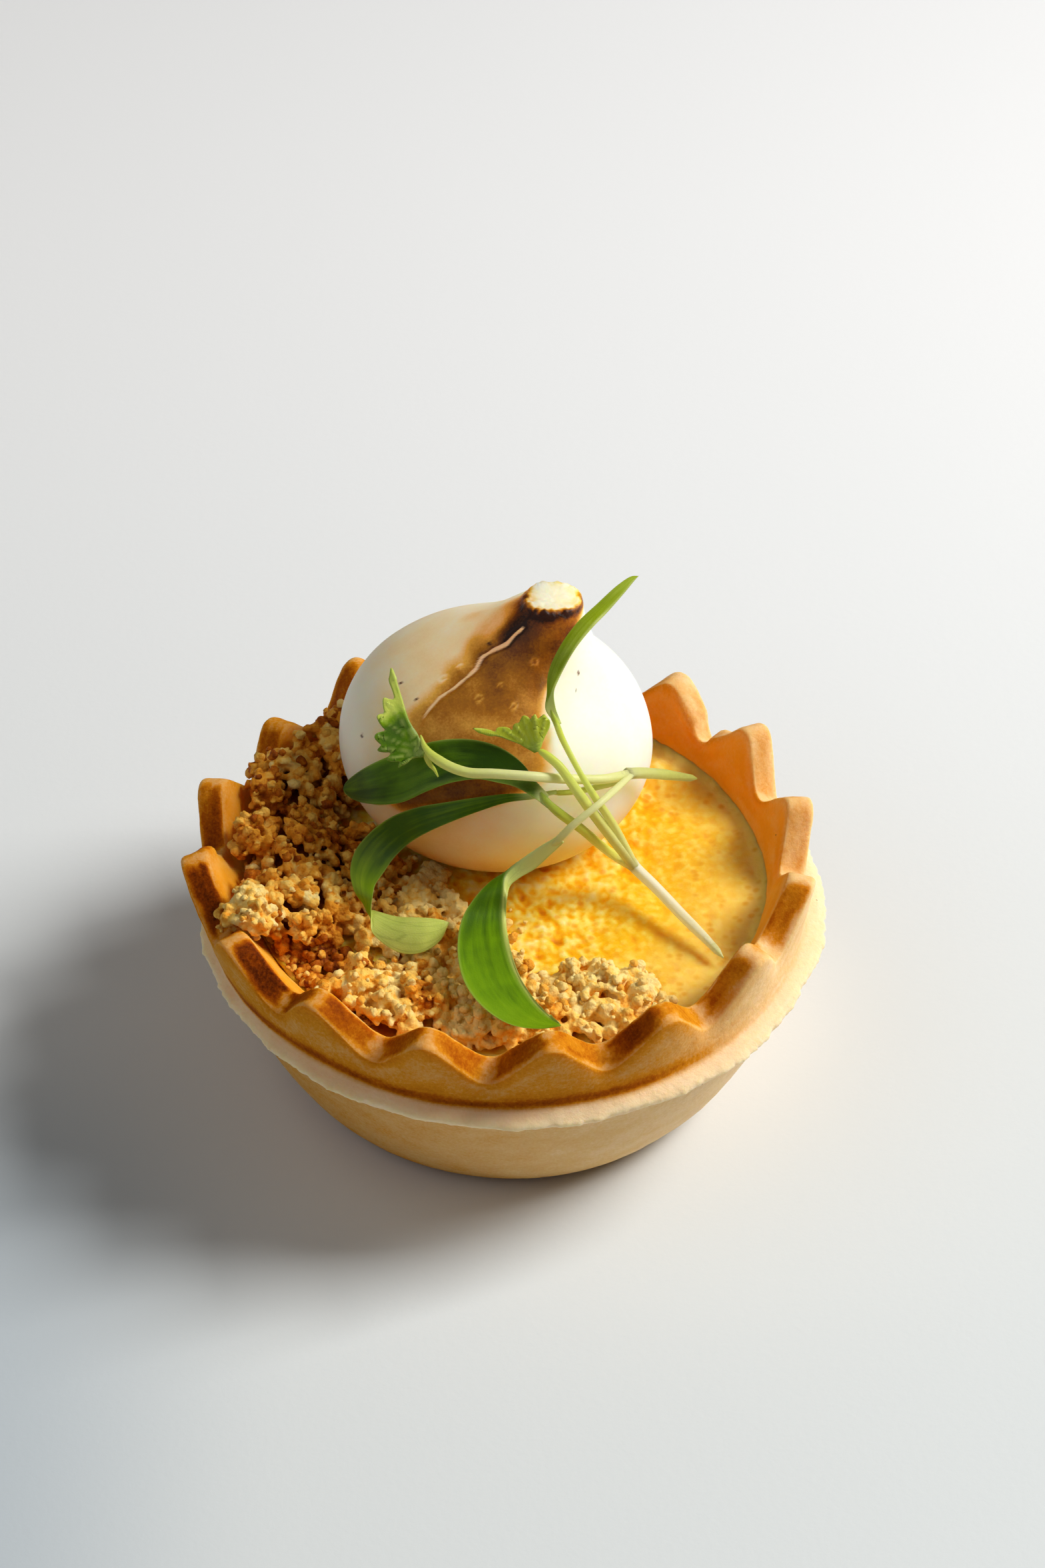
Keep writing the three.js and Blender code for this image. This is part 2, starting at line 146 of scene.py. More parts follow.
class Flow:
    """A number, colour or vector on its way through a finish. Sums on it add Math nodes."""

    def __init__(self, bench: "FinishBench", socket: bpy.types.NodeSocket) -> None:
        """Wrap one output socket of a node.

        Args:
            bench: the finish that the node belongs to.
            socket: the node's output.
        """
        self.bench = bench
        self.socket = socket

    def __add__(self, other: "Operand") -> "Flow":
        """Add a value."""
        return self.bench.sums("ADD", self, other)

    __radd__ = __add__

    def __sub__(self, other: "Operand") -> "Flow":
        """Take a value away."""
        return self.bench.sums("SUBTRACT", self, other)

    def __rsub__(self, other: "Operand") -> "Flow":
        """Take this away from a value."""
        return self.bench.sums("SUBTRACT", other, self)

    def __mul__(self, other: "Operand") -> "Flow":
        """Multiply by a value."""
        return self.bench.sums("MULTIPLY", self, other)

    __rmul__ = __mul__

    def step(self, start: float, end: float) -> "Flow":
        """Return a smooth step from 0 at start to 1 at end."""
        sockets = {"Value": self, "From Min": start, "From Max": end}
        return self.bench.node("ShaderNodeMapRange", {"interpolation_type": "SMOOTHSTEP"}, sockets)


Operand = Union[Flow, float]


@dataclass(frozen=True)
class Scatter:
    """How light travels under a surface: its share, its reach in red, green and blue, and its scale."""

    share: float = 0.0
    reach: Point = (1.0, 1.0, 1.0)
    scale: float = 0.1


class FinishBench:
    """One material and the methods that lay out its nodes. Patterns are measured in millimetres."""

    def __init__(self, name: str) -> None:
        """Start an empty material.

        Args:
            name: the material's name.
        """
        self.material = bpy.data.materials.new(name)
        self.material.use_nodes = True
        self.tree = self.material.node_tree
        self.tree.nodes.clear()

    def node(self, kind: str, settings: dict, sockets: dict, output: Union[int, str] = 0) -> Flow:
        """Add a node.

        Args:
            kind: the node's type.
            settings: its own settings, set before its sockets. stops are a ramp's places and colours.
            sockets: values or flows for its inputs, by name or number.
            output: the output to go on from.

        Returns:
            The chosen output.
        """
        made = self.tree.nodes.new(kind)
        for key, value in settings.items():
            if key == "stops":
                self._set_stops(made.color_ramp, value)
            else:
                setattr(made, key, value)
        for key, value in sockets.items():
            if isinstance(value, Flow):
                self.tree.links.new(value.socket, made.inputs[key])
            else:
                made.inputs[key].default_value = value
        return Flow(self, made.outputs[output])

    @staticmethod
    def _set_stops(ramp: bpy.types.ColorRamp, stops: Stops) -> None:
        """Give a ramp its places and colours.

        Args:
            ramp: the ramp.
            stops: its places, from 0 to 1, and their screen colours.
        """
        while len(ramp.elements) < len(stops):
            ramp.elements.new(1.0)
        for element, (place, code) in zip(ramp.elements, stops):
            element.position = place
            element.color = paint(code)

    def sums(self, operation: str, first: Operand, second: Operand) -> Flow:
        """Add a Math node on two values."""
        return self.node("ShaderNodeMath", {"operation": operation}, {0: first, 1: second})

    def place(self) -> Flow:
        """Return the place on the object, in millimetres."""
        metres = self.node("ShaderNodeTexCoord", {}, {}, "Object")
        return self.node("ShaderNodeVectorMath", {"operation": "SCALE"}, {0: metres, "Scale": 1 / MM})

    def mark(self, name: str) -> Flow:
        """Read a value that the piece's mesh carries."""
        return self.node("ShaderNodeAttribute", {"attribute_name": name}, {}, "Fac")

    def clouds(self, place: Flow, size: float, detail: float = 3.0, roughness: float = 0.55) -> Flow:
        """Return soft noise from 0 to 1 with patches of a given size."""
        sockets = {"Vector": place, "Scale": 1 / size, "Detail": detail, "Roughness": roughness}
        return self.node("ShaderNodeTexNoise", {}, sockets)

    def cells(self, place: Flow, size: float, output: str = "Distance", feature: str = "F1") -> Flow:
        """Return a pattern of cells of a given size."""
        sockets = {"Vector": place, "Scale": 1 / size}
        return self.node("ShaderNodeTexVoronoi", {"feature": feature}, sockets, output)

    def specks(self, place: Flow, spacing: float, radius: float, share: float) -> Flow:
        """Return 1 on a few small round specks.

        Args:
            place: the place on the object.
            spacing: the size of the cells that may each hold one speck.
            radius: a speck's radius.
            share: the share of the cells that hold one.

        Returns:
            The specks, and 0 between them.
        """
        near = self.cells(place, spacing).step(radius / spacing, 0.6 * radius / spacing)
        pick = self.node("ShaderNodeSeparateColor", {}, {0: self.cells(place, spacing, "Color")})
        return near * pick.step(1 - share, 1.001 - share)

    def ramp(self, amount: Flow, stops: Stops) -> Flow:
        """Turn a value into a colour."""
        return self.node("ShaderNodeValToRGB", {"stops": stops}, {"Fac": amount})

    def blend(self, amount: Operand, under: Union[Flow, str], over: Union[Flow, str]) -> Flow:
        """Lay one colour over another.

        Args:
            amount: how much of the upper colour shows, from 0 to 1.
            under: the lower colour.
            over: the upper colour.

        Returns:
            The colour that comes out.
        """
        lower, upper = (paint(colour) if isinstance(colour, str) else colour for colour in (under, over))
        settings = {"data_type": "RGBA", "clamp_factor": True}
        return self.node("ShaderNodeMix", settings, {0: amount, 6: lower, 7: upper}, 2)

    def relief(self, height: Flow, depth: float, under: Union[Flow, None] = None) -> Flow:
        """Turn a height into a bump, its depth in millimetres at a height of 1.

        Args:
            height: the height, from about 0 to 1.
            depth: the depth that a height of 1 stands for.
            under: a bump that this one lies on.

        Returns:
            The bumped normal.
        """
        sockets = {"Height": height, "Distance": depth * MM, "Strength": 1.0}
        if under is not None:
            sockets["Normal"] = under
        return self.node("ShaderNodeBump", {}, sockets)

    def surface(self, colour: Flow, roughness: Operand, bump: Flow, shine: float, scatter: Scatter) -> Flow:
        """Add the main shader.

        Args:
            colour: the surface's colour.
            roughness: its roughness.
            bump: its normal.
            shine: how strongly it mirrors, where 0.5 is usual.
            scatter: how light travels under it.

        Returns:
            The shader.
        """
        return self.node("ShaderNodeBsdfPrincipled", {"subsurface_method": "RANDOM_WALK"}, {
            "Base Color": colour,
            "Roughness": roughness,
            "Normal": bump,
            "Subsurface Weight": scatter.share,
            "Subsurface Radius": scatter.reach,
            "Subsurface Scale": scatter.scale * MM,
            "Specular IOR Level": shine,
        })

    def lit_through(self, shader: Flow, glow: str, share: Operand) -> Flow:
        """Let a share of the light through a thin skin, coloured by it."""
        through = self.node("ShaderNodeBsdfTranslucent", {}, {"Color": paint(glow)})
        return self.node("ShaderNodeMixShader", {}, {0: share, 1: shader, 2: through})

    def done(self, shader: Flow) -> Material:
        """Connect the last shader to the output.

        Args:
            shader: the last shader.

        Returns:
            The material.
        """
        output = self.tree.nodes.new("ShaderNodeOutputMaterial")
        self.tree.links.new(shader.socket, output.inputs["Surface"])
        return self.material


@dataclass(frozen=True)
class BakedDough:
    """Short pastry: pale where the tin covered it, brown where it met the oven's heat, and painted shade."""

    # Browns for the baked dough and for its painted shade
    browning_and_shade: Stops = (
        (0.0, "#FFDFB6"), (0.18, "#EABC7C"), (0.42, "#D88A14"), (0.62, "#B45C00"),
        (0.82, "#8C3C00"), (1.0, "#5A2000"),
    )
    # The inner side of the rim: the dough's own orange, with a painted glow of light through the wall
    gilded: str = "#F4A022"
    fleck: str = "#4A2409"
    grain_size: float = 0.30
    grain_depth: float = 0.08
    patch_size: float = 2.4
    crumb_size: float = 0.9
    crumb_depth: float = 0.10
    fleck_spacing: float = 1.7
    fleck_radius: float = 0.10
    fleck_share: float = 0.12
    shine: float = 0.05
    scatter: Scatter = Scatter(0.6, (1.0, 0.65, 0.25), 1.5)

    def material(self) -> Material:
        """Build the finish.

        Returns:
            Its material.
        """
        bench = FinishBench("baked_dough")
        place = bench.place()
        grain = bench.clouds(place, self.grain_size, 4.0, 0.75)
        patches = bench.clouds(place, self.patch_size, 4.0, 0.6)
        bake = bench.mark("bake")
        amount = bake + (grain - 0.5) * 0.7 * (bake + 0.12) + (patches - 0.5) * 0.30 * (bake + 0.25)
        colour = bench.ramp(amount, self.browning_and_shade)
        colour = bench.blend(bench.mark("gilded") * (0.35 + 0.7 * patches), colour, self.gilded)
        flecks = bench.specks(place, self.fleck_spacing, self.fleck_radius, self.fleck_share)
        colour = bench.blend(flecks * 0.7, colour, self.fleck)
        bump = bench.relief(grain, self.grain_depth)
        bump = bench.relief(bench.clouds(place, self.crumb_size, 3.0), self.crumb_depth, bump)
        shader = bench.surface(colour, 0.80 - 0.25 * bake, bump, self.shine, self.scatter)
        return bench.done(shader)


@dataclass(frozen=True)
class LemonCurd:
    """Baked lemon custard: yellow and porous, paler where it bubbled up and deeper in its pits."""

    depths: Stops = (
        (0.0, "#C46A00"), (0.3, "#EFA204"), (0.48, "#F9BE14"), (0.66, "#FFD95C"),
        (1.0, "#FFEDAC"),
    )
    # Paler near the walls: partly the custard's own baked skin, partly painted light in the walls' shadow
    crust: str = "#FFCC6C"
    pore: str = "#EBA520"
    fine_size: float = 0.34
    patch_size: float = 2.6
    pore_spacing: float = 0.95
    granule_size: float = 0.7
    relief_depth: float = 0.07
    roughness: float = 0.45
    shine: float = 0.2
    scatter: Scatter = Scatter(0.9, (1.0, 0.75, 0.2), 2.2)

    def material(self) -> Material:
        """Build the finish.

        Returns:
            Its material.
        """
        bench = FinishBench("lemon_curd")
        place = bench.place()
        fine = bench.clouds(place, self.fine_size, 3.0, 0.65)
        patches = bench.clouds(place, self.patch_size, 2.0)
        pores = bench.cells(place, self.pore_spacing).step(0.48, 0.10)
        granules = bench.cells(place, self.granule_size, "Distance", "SMOOTH_F1").step(0.6, 0.15)
        amount = bench.mark("level") + (fine - 0.5) * 0.22 + (patches - 0.5) * 0.22
        amount = amount + (granules - 0.5) * 0.12 + 0.07
        colour = bench.ramp(amount, self.depths)
        colour = bench.blend(bench.mark("crust"), colour, self.crust)
        colour = bench.blend(pores * patches.step(0.35, 0.6) * 0.8, colour, self.pore)
        bump = bench.relief(fine - pores * 0.4 + granules * 0.5, self.relief_depth)
        shader = bench.surface(colour, self.roughness, bump, self.shine, self.scatter)
        return bench.done(shader)


@dataclass(frozen=True)
class BiscuitCrumb:
    """Butter biscuit, broken into sugary grains: some pale, some golden, with painted shade in the gaps."""

    tones: Stops = (
        (0.0, "#FFE394"), (0.3, "#FFCD60"), (0.55, "#F2A32A"), (0.8, "#BA6104"),
        (1.0, "#823802"),
    )
    # The painted shade between the clumps
    gap: str = "#6A2800"
    grain_size: float = 0.16
    grain_depth: float = 0.12
    patch_size: float = 0.6
    sugar_size: float = 0.36
    sugar_depth: float = 0.09
    roughness: float = 0.55
    shine: float = 0.15
    scatter: Scatter = Scatter(0.1, (1.0, 0.9, 0.7), 0.2)

    def material(self) -> Material:
        """Build the finish.

        Returns:
            Its material.
        """
        bench = FinishBench("butter_biscuit")
        place = bench.place()
        grain = bench.clouds(place, self.grain_size, 3.0, 0.7)
        patches = bench.clouds(place, self.patch_size, 2.0)
        amount = bench.mark("tone") + (patches - 0.5) * 0.35 + (grain - 0.5) * 0.25
        colour = bench.ramp(amount, self.tones)
        colour = bench.blend(bench.mark("gap"), colour, self.gap)
        bump = bench.relief(grain, self.grain_depth)
        bump = bench.relief(1 - bench.cells(place, self.sugar_size), self.sugar_depth, bump)
        shader = bench.surface(colour, self.roughness, bump, self.shine, self.scatter)
        return bench.done(shader)


@dataclass(frozen=True)
class TorchedMeringue:
    """Satin white meringue, browned by a flame on one side and scorched at its cut tip, with painted shade.
    """

    toasting: Stops = (
        (0.0, "#FFF9EC"), (0.12, "#FFDDAE"), (0.30, "#E6AE46"), (0.50, "#AC6E08"),
        (0.72, "#723C02"), (1.0, "#2A0E02"),
    )
    crack: str = "#F2CE9C"
    speck: str = "#4A1E08"
    patch_size: float = 1.9
    grain_size: float = 0.20
    grain_depth: float = 0.06
    shine: float = 0.3
    scatter: Scatter = Scatter(1.0, (1.0, 0.68, 0.36), 13.0)

    def material(self) -> Material:
        """Build the finish.

        Returns:
            Its material.
        """
        bench = FinishBench("torched_meringue")
        place = bench.place()
        toast = bench.mark("toast")
        patches = bench.clouds(place, self.patch_size, 4.0, 0.6)
        grain = bench.clouds(place, self.grain_size, 3.0, 0.65)
        amount = toast + (patches - 0.5) * toast * 0.8 + (grain - 0.5) * toast * 0.5
        colour = bench.ramp(amount, self.toasting)
        colour = bench.blend(bench.mark("crack"), colour, self.crack)
        colour = bench.blend(bench.mark("speck"), colour, self.speck)
        bump = bench.relief(grain * toast, self.grain_depth)
        shader = bench.surface(colour, 0.40 + 0.14 * grain, bump, self.shine, self.scatter)
        return bench.done(shader)


@dataclass(frozen=True)
class LeafSkin:
    """A leaf: a top with painted shade and light, a paler underside with fine veins, a painted highlight at
    its edge.
    """

    name: str
    top: str
    deep: str
    under: str
    # The top's paler green: painted light, and its fine pale grain
    light: str = "#C6D84A"
    base: str = "#F4FFA0"
    glow: str = "#A5C818"
    glow_share: float = 0.26
    bloom: str = "#E6EE98"  # the fine pale grain of the underside
    rib: str = "#D2E07A"
    # A painted highlight along the margins
    edge: str = "#B5C85A"
    stretch: Pair = (1.6, 1.4)  # how far its streaks run along and across it
    streak_size: float = 0.5
    streak_depth: float = 0.03
    vein_spacing: float = 0.42
    fine_size: float = 0.14
    fine_depth: float = 0.02
    patch_size: float = 2.2
    roughness: float = 0.42
    shine: float = 0.3
    scatter: Scatter = Scatter(0.12, (0.6, 1.0, 0.1), 0.4)

    def material(self) -> Material:
        """Build the finish.

        Returns:
            Its material.
        """
        bench = FinishBench(self.name)
        place = bench.place()
        along, across = bench.mark("along"), bench.mark("across")
        sides = {"X": along * self.stretch[0], "Y": across * self.stretch[1]}
        stretched = bench.node("ShaderNodeCombineXYZ", {}, sides)
        streaks = bench.clouds(stretched, self.streak_size, 3.0, 0.6)
        fine = bench.clouds(place, self.fine_size, 2.0, 0.6)
        patches = bench.clouds(place, self.patch_size, 2.0)
        # Painted shade where the shade mark is above 0, painted light where it is below 0
        amount = streaks * 0.7 + patches * 0.3 - bench.mark("shade") * 0.5
        top = bench.ramp(amount, ((0.32, self.deep), (0.54, self.top), (0.85, self.light)))
        top = bench.blend(fine.step(0.60, 0.80) * 0.15, top, self.light)
        veins = bench.cells(stretched, self.vein_spacing, "Distance", "DISTANCE_TO_EDGE").step(0.05, 0.0)
        below = bench.blend(patches.step(0.3, 0.7) * 0.25, self.under, self.top)
        below = bench.blend(fine.step(0.45, 0.75) * 0.25, below, self.bloom)
        below = bench.blend(veins * 0.22, below, self.deep)
        colour = bench.blend(bench.mark("under"), top, below)
        colour = bench.blend(bench.mark("rib") * 0.45, colour, self.rib)
        colour = bench.blend(bench.mark("base"), colour, self.base)
        # The margins' painted highlight
        colour = bench.blend(bench.mark("edge") * 0.55, colour, self.edge)
        bump = bench.relief(streaks, self.streak_depth)
        bump = bench.relief(fine, self.fine_depth, bump)
        skin = bench.surface(colour, self.roughness, bump, self.shine, self.scatter)
        share = self.glow_share - 0.2 * bench.mark("base")
        return bench.done(bench.lit_through(skin, self.glow, share))


@dataclass(frozen=True)
class StalkSkin:
    """A herb's stalk, its colour changing from its cut end to its leaf."""

    name: str
    stops: Stops
    glow: str = "#FAFAD0"
    glow_share: float = 0.38
    grain_size: float = 0.35
    grain_depth: float = 0.03
    roughness: float = 0.38
    shine: float = 0.3
    scatter: Scatter = Scatter(0.3, (0.9, 1.0, 0.4), 0.3)

    def material(self) -> Material:
        """Build the finish.

        Returns:
            Its material.
        """
        bench = FinishBench(self.name)
        place = bench.place()
        grain = bench.clouds(place, self.grain_size, 3.0)
        colour = bench.ramp(bench.mark("along") + (grain - 0.5) * 0.12, self.stops)
        bump = bench.relief(grain, self.grain_depth)
        shader = bench.surface(colour, self.roughness, bump, self.shine, self.scatter)
        return bench.done(bench.lit_through(shader, self.glow, self.glow_share))


def meshed(name: str, shape: BMesh) -> Mesh:
    """Write a shape into a new mesh.

    Args:
        name: the mesh's name.
        shape: the shape, used up here.

    Returns:
        The mesh.
    """
    mesh = bpy.data.meshes.new(name)
    shape.to_mesh(mesh)
    shape.free()
    return mesh


def placed(name: str, data: bpy.types.ID) -> Object:
    """Put a new object into the scene.

    Args:
        name: the object's name.
        data: its mesh, light or camera.

    Returns:
        The object.
    """
    thing = bpy.data.objects.new(name, data)
    bpy.context.collection.objects.link(thing)
    return thing


def add_marks(shape: BMesh, *names: str) -> dict:
    """Give a shape a layer for each value that it will carry, and return the layers by name."""
    return {name: shape.verts.layers.float.new(name) for name in names}


def smooth(shape: BMesh, verts: Sequence[BMVert], times: int) -> None:
    """Smooth a shape.

    Args:
        shape: the shape.
        verts: those of its vertices that move.
        times: how many times they move.
    """
    axes = {"use_axis_x": True, "use_axis_y": True, "use_axis_z": True}
    for _ in range(times):
        bmesh.ops.smooth_vert(shape, verts=verts, factor=0.5, **axes)


def finish_piece(name: str, shape: BMesh, node: str, finish: Material) -> None:
    """Turn a shape into a piece of the tartlet.

    Args:
        name: the piece's name.
        shape: its mesh in millimetres, used up here.
        node: the solid that it stands for.
        finish: its material.
    """
    bmesh.ops.scale(shape, vec=(MM, MM, MM), verts=shape.verts)
    mesh = meshed(name, shape)
    mesh.shade_smooth()
    mesh.materials.append(finish)
    piece = placed(name, mesh)
    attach(piece, "root")
    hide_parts(node)
    log.info("%s: %d triangles", name, sum(len(face.vertices) - 2 for face in mesh.polygons))


def spun_shell(section: Sequence[Pair], sectors: int, steps: int) -> BMesh:
    """Spin a section around the Z axis, one sector first and then its copies.

    Args:
        section: radius and height of each point of the section, which starts and ends on the axis.
        sectors: how many sectors make the round.
        steps: the steps of a sector.

    Returns:
        The shell. Its vertex layer station holds the number of the section's point.
    """
    shell = bmesh.new()
    station = shell.verts.layers.float.new("station")
    points = []
    for number, (radius, height) in enumerate(section):
        point = shell.verts.new((0.0, -radius, height))
        point[station] = number
        points.append(point)
    for first, second in zip(points, points[1:]):
        shell.edges.new((first, second))
    turn = 2 * math.pi / sectors
    centre = {"cent": (0, 0, 0), "axis": (0, 0, 1)}
    bmesh.ops.spin(shell, geom=shell.verts[:] + shell.edges[:], angle=turn, steps=steps, **centre)
    everything = shell.verts[:] + shell.edges[:] + shell.faces[:]
    bmesh.ops.spin(
        shell, geom=everything, angle=turn * (sectors - 1), steps=sectors - 1, use_duplicate=True, **centre
    )
    bmesh.ops.remove_doubles(shell, verts=shell.verts, dist=WELD)
    bmesh.ops.recalc_face_normals(shell, faces=shell.faces)
    return shell


def spaced(stops: Sequence[Sequence[float]], gaps: Callable[[int], float], passes: int) -> list[list[float]]:
    """Fill in a chain of rows of numbers at even spacing and round its corners.

    Args:
        stops: the rows; the first two numbers of each are a place in the plane.
        gaps: the spacing in the stretch that starts at a row's number.
        passes: how many times each filled-in row is averaged with its neighbours.

    Returns:
        The rows. The last number of each is its place among the stops.
    """
    rows = []
    for number, (first, second) in enumerate(zip(stops, stops[1:])):
        length = math.hypot(second[0] - first[0], second[1] - first[1])
        steps = max(1, round(length / gaps(number)))
        for i in range(steps):
            share = i / steps
            rows.append([mix(a, b, share) for a, b in zip(first, second)] + [number + share])
    rows.append([*stops[-1], float(len(stops) - 1)])
    for _ in range(passes):
        inner = [
            [0.25 * a + 0.5 * b + 0.25 * c for a, b, c in zip(before, row, after)]
            for before, row, after in zip(rows, rows[1:], rows[2:])
        ]
        rows = [rows[0], *inner, rows[-1]]
    return rows


@dataclass(frozen=True)
class DoughLump:
    """A lump of dough standing out of the pressed rim, or a pit with painted shade where its rise is below 0.
    """

    angle: float
    radius: float
    height: float
    reach: float
    rise: float


@dataclass
class PastryCase:
    """The pressed case: a bowl-like wall, a ragged flange, a groove and a rim in zigzag pleats."""

    pleats: int = 16
    first_ridge: float = -126.57
    crown_shift: float = -0.64
    steps_per_pleat: int = 44
    # How brown the pleats' slopes are painted, by the angle from the front in degrees, with painted shade
    slope_bake_and_shade: tuple[Pair, ...] = (
        (-180.0, 0.30), (-112.0, 0.32), (-90.0, 0.42), (-70.0, 0.68), (-52.0, 0.72), (-28.0, 0.38),
        (-8.0, 0.35), (8.0, 0.38), (26.0, 0.44), (50.0, 0.30), (66.0, 0.34), (80.0, 0.32), (90.0, 0.16),
        (104.0, 0.14), (118.0, 0.07), (150.0, 0.10), (180.0, 0.30),
    )
    rounding: float = 0.05
    # Half the width, in pleats, of a pleat with its slopes, and the width of a slope
    pleat_reach: float = 0.43
    slope_width: float = 0.36
    # Where the rim bulges out or is drawn in, and where it is lower: angle, width and move
    bulges: tuple[Point, ...] = ((-84.0, 30.0, 0.85), (-127.0, 14.0, -0.8))
    sags: tuple[Point, ...] = ((-127.0, 16.0, -0.8), (143.0, 14.0, -0.5))
    # Spacing along the section where it isn't seen, on the wall, and from the flange up
    hidden_gap: float = 2.4
    wall_gap: float = 0.85
    rim_gap: float = 0.23
    rim_smoothing: int = 4
    # Radius and height. In the rim: on a pleat, in the dip, and how far the bulges move the point
    section: tuple[tuple[float, ...], ...] = (
        (0.0, 0.0), (16.8, 0.0), (18.0, 0.2), (18.6, 0.9), (20.5, 3.6), (22.3, 7.2), (23.7, 10.8),
        (24.7, 13.5), (25.5, 14.2), (26.1, 14.6), (26.2, 15.0), (25.4, 15.5),
        (24.8, 15.8, 24.8, 15.8, 0.4), (24.9, 17.2, 24.8, 16.9, 0.7), (26.0, 23.0, 24.7, 18.4, 1.0),
        (23.7, 23.3, 22.75, 19.7, 1.0), (22.5, 20.6, 22.1, 18.8, 0.8), (21.4, 18.0, 21.4, 18.0, 0.4),
        (21.0, 16.4), (20.5, 12.0), (19.2, 7.0), (17.5, 3.6), (16.4, 2.4), (0.0, 2.4),
    )
    # Numbers of the section's points where its parts start
    wall: int = 3
    flange: int = 9
    groove: int = 12
    crown: int = 14
    inside: int = 18
    lumps: tuple[DoughLump, ...] = (
        DoughLump(-86, 24.5, 22.9, 1.1, 0.75),
        DoughLump(136, 24.2, 21.2, 1.5, 1.2),
        DoughLump(129, 24.0, 20.0, 1.1, 0.8),
        DoughLump(28.5, 23.9, 23.2, 0.35, 0.4),
        DoughLump(134, 23.4, 21.4, 0.55, -0.8),
    )

    def build(self) -> None:
        """Spin, press and dress the case."""
        section = [row if len(row) > 2 else (*row, *row, 0.0) for row in self.section]
        rows = spaced(section, self._gap, 2)
        shell = spun_shell([(row[0], row[1]) for row in rows], self.pleats, self.steps_per_pleat)
        station = shell.verts.layers.float["station"]
        bake, gilded = add_marks(shell, "bake", "gilded").values()
        rim = []
        for vertex in shell.verts:
            row = rows[round(vertex[station])]
            angle = math.atan2(vertex.co.x, -vertex.co.y)
            vertex[bake] = self._browning(row[5], angle)
            # A painted glow of light through the wall, on the rim's inner side
            vertex[gilded] = step_between(self.crown + 0.9, self.crown + 1.5, row[5])
            vertex.co = self._pressed(row, angle)
            if self.groove < row[5] < self.inside:
                rim.append(vertex)
        smooth(shell, rim, self.rim_smoothing)
        shell.normal_update()
        for vertex in shell.verts:
            self._roughen(vertex, rows[round(vertex[station])][5], bake)
        finish_piece("pastry_case_baked", shell, "pastry_case", BakedDough().material())

    def _gap(self, number: int) -> float:
        """Return the spacing in the stretch that starts at a point of the section."""
        seen = self.wall_gap if number < self.flange - 2 else self.rim_gap
        return self.hidden_gap if number == 0 or number >= self.inside else seen

    def _turn(self, angle: float) -> tuple[float, float]:
        """Measure how far an angle is from the nearest pleat's top.

        Args:
            angle: the angle from the front.

        Returns:
            The distance in pleats, and -1 or 1 for the side.
        """
        turn = (math.degrees(angle) - self.first_ridge) * self.pleats / 360
        off = turn - round(turn)
        return abs(off), math.copysign(1, off)

    def _wave(self, angle: float) -> float:
        """Return 1 on a pleat's top and 0 in the dip, with both edges a little rounded.

        Args:
            angle: the angle from the front.

        Returns:
            The share of the pleat's form, from 0 to 1.
        """
        off = self._turn(angle)[0]
        moves = (-self.rounding, -0.5 * self.rounding, 0, 0.5 * self.rounding, self.rounding)
        parts = [min(max((self.pleat_reach - off - move) / self.slope_width, 0.0), 1.0) for move in moves]
        return sum(parts) / len(parts)

    def _pressed(self, row: Sequence[float], angle: float) -> Vector:
        """Return where a point of the section lies at an angle.

        Args:
            row: the section's values at the point, and its place on the section.
            angle: the angle from the front.

        Returns:
            The point.
        """
        ridge_radius, ridge_height, dip_radius, dip_height, share, place = row
        wave = self._wave(angle)
        swell = self._moved(self.bulges, angle, 0.0) + 0.1 * math.sin(5 * angle + 1)
        lift = self._moved(self.sags, angle, 0.15 * math.sin(7 * angle))
        radius = mix(dip_radius, ridge_radius, wave) + share * swell
        height = mix(dip_height, ridge_height, wave) + share * lift
        edge = max(0.0, 1 - abs(place - self.flange - 0.5) / 1.6)
        if edge:
            radius += edge * (0.14 * math.sin(9 * angle + 1) + 0.1 * math.sin(23 * angle + 2))
            torn = around(angle, radius, 0)
            radius += edge * (0.20 * ripple(torn, 1.1, 3) + 0.17 * ripple(torn, 0.4, 5) - 0.03)
            height += edge * (0.16 * ripple(torn, 2.4, 7) + 0.10 * ripple(torn, 0.6, 9))
        return around(angle, radius, height, share * self.crown_shift)

    @staticmethod
    def _moved(moves: Sequence[Point], angle: float, start: float) -> float:
        """Add up the rim's moves at an angle."""
        return sum((move * near_angle(angle, middle, width) for middle, width, move in moves), start)

    def _browning(self, place: float, angle: float) -> float:
        """Return how brown the dough is painted: baked brown, with painted shade and painted light.

        Args:
            place: the place on the section.
            angle: the angle from the front.

        Returns:
            A share from 0 to 1.
        """
        off, side = self._turn(angle)
        wobble = ripple(around(angle, 25, 9 * place), 2.6, 11)
        turned = math.degrees(angle)
        # The right side faces the light, and the dough is painted paler there
        right = step_between(22, 62, turned) * step_between(175, 140, turned)
        # The wall, with painted shade on the side away from the light, under the flange and at its foot
        if place < self.flange - 1:
            shaded = max(step_between(60, -60, turned), step_between(120, 180, turned))
            shade_under_flange = step_between(self.flange - 2.2, self.flange - 1.2, place)
            foot = step_between(self.wall + 1.6, self.wall - 1, place)
            return 0.10 + 0.24 * shaded + 0.05 * wobble + 0.06 * shade_under_flange + 0.24 * shaded * foot
        # The flange
        if place < self.groove - 1:
            return 0.02 + 0.04 * wobble
        # The band from the groove up to the pleats, painted paler on the lit right, with a brown line in the
        # groove
        if place < self.crown:
            band = mix(0.37, 0.14, right) + 0.05 * wobble
            rise = 0.04 + (band - 0.04) * step_between(-0.6, 0.3, place - self.groove)
            # The line in the groove is brown from the oven, with painted shade in the crease, weaker on the
            # lit right
            line = bell(place, self.groove + 0.35, 0.5)
            line *= step_between(58, 14, turned) + step_between(130, 175, turned)
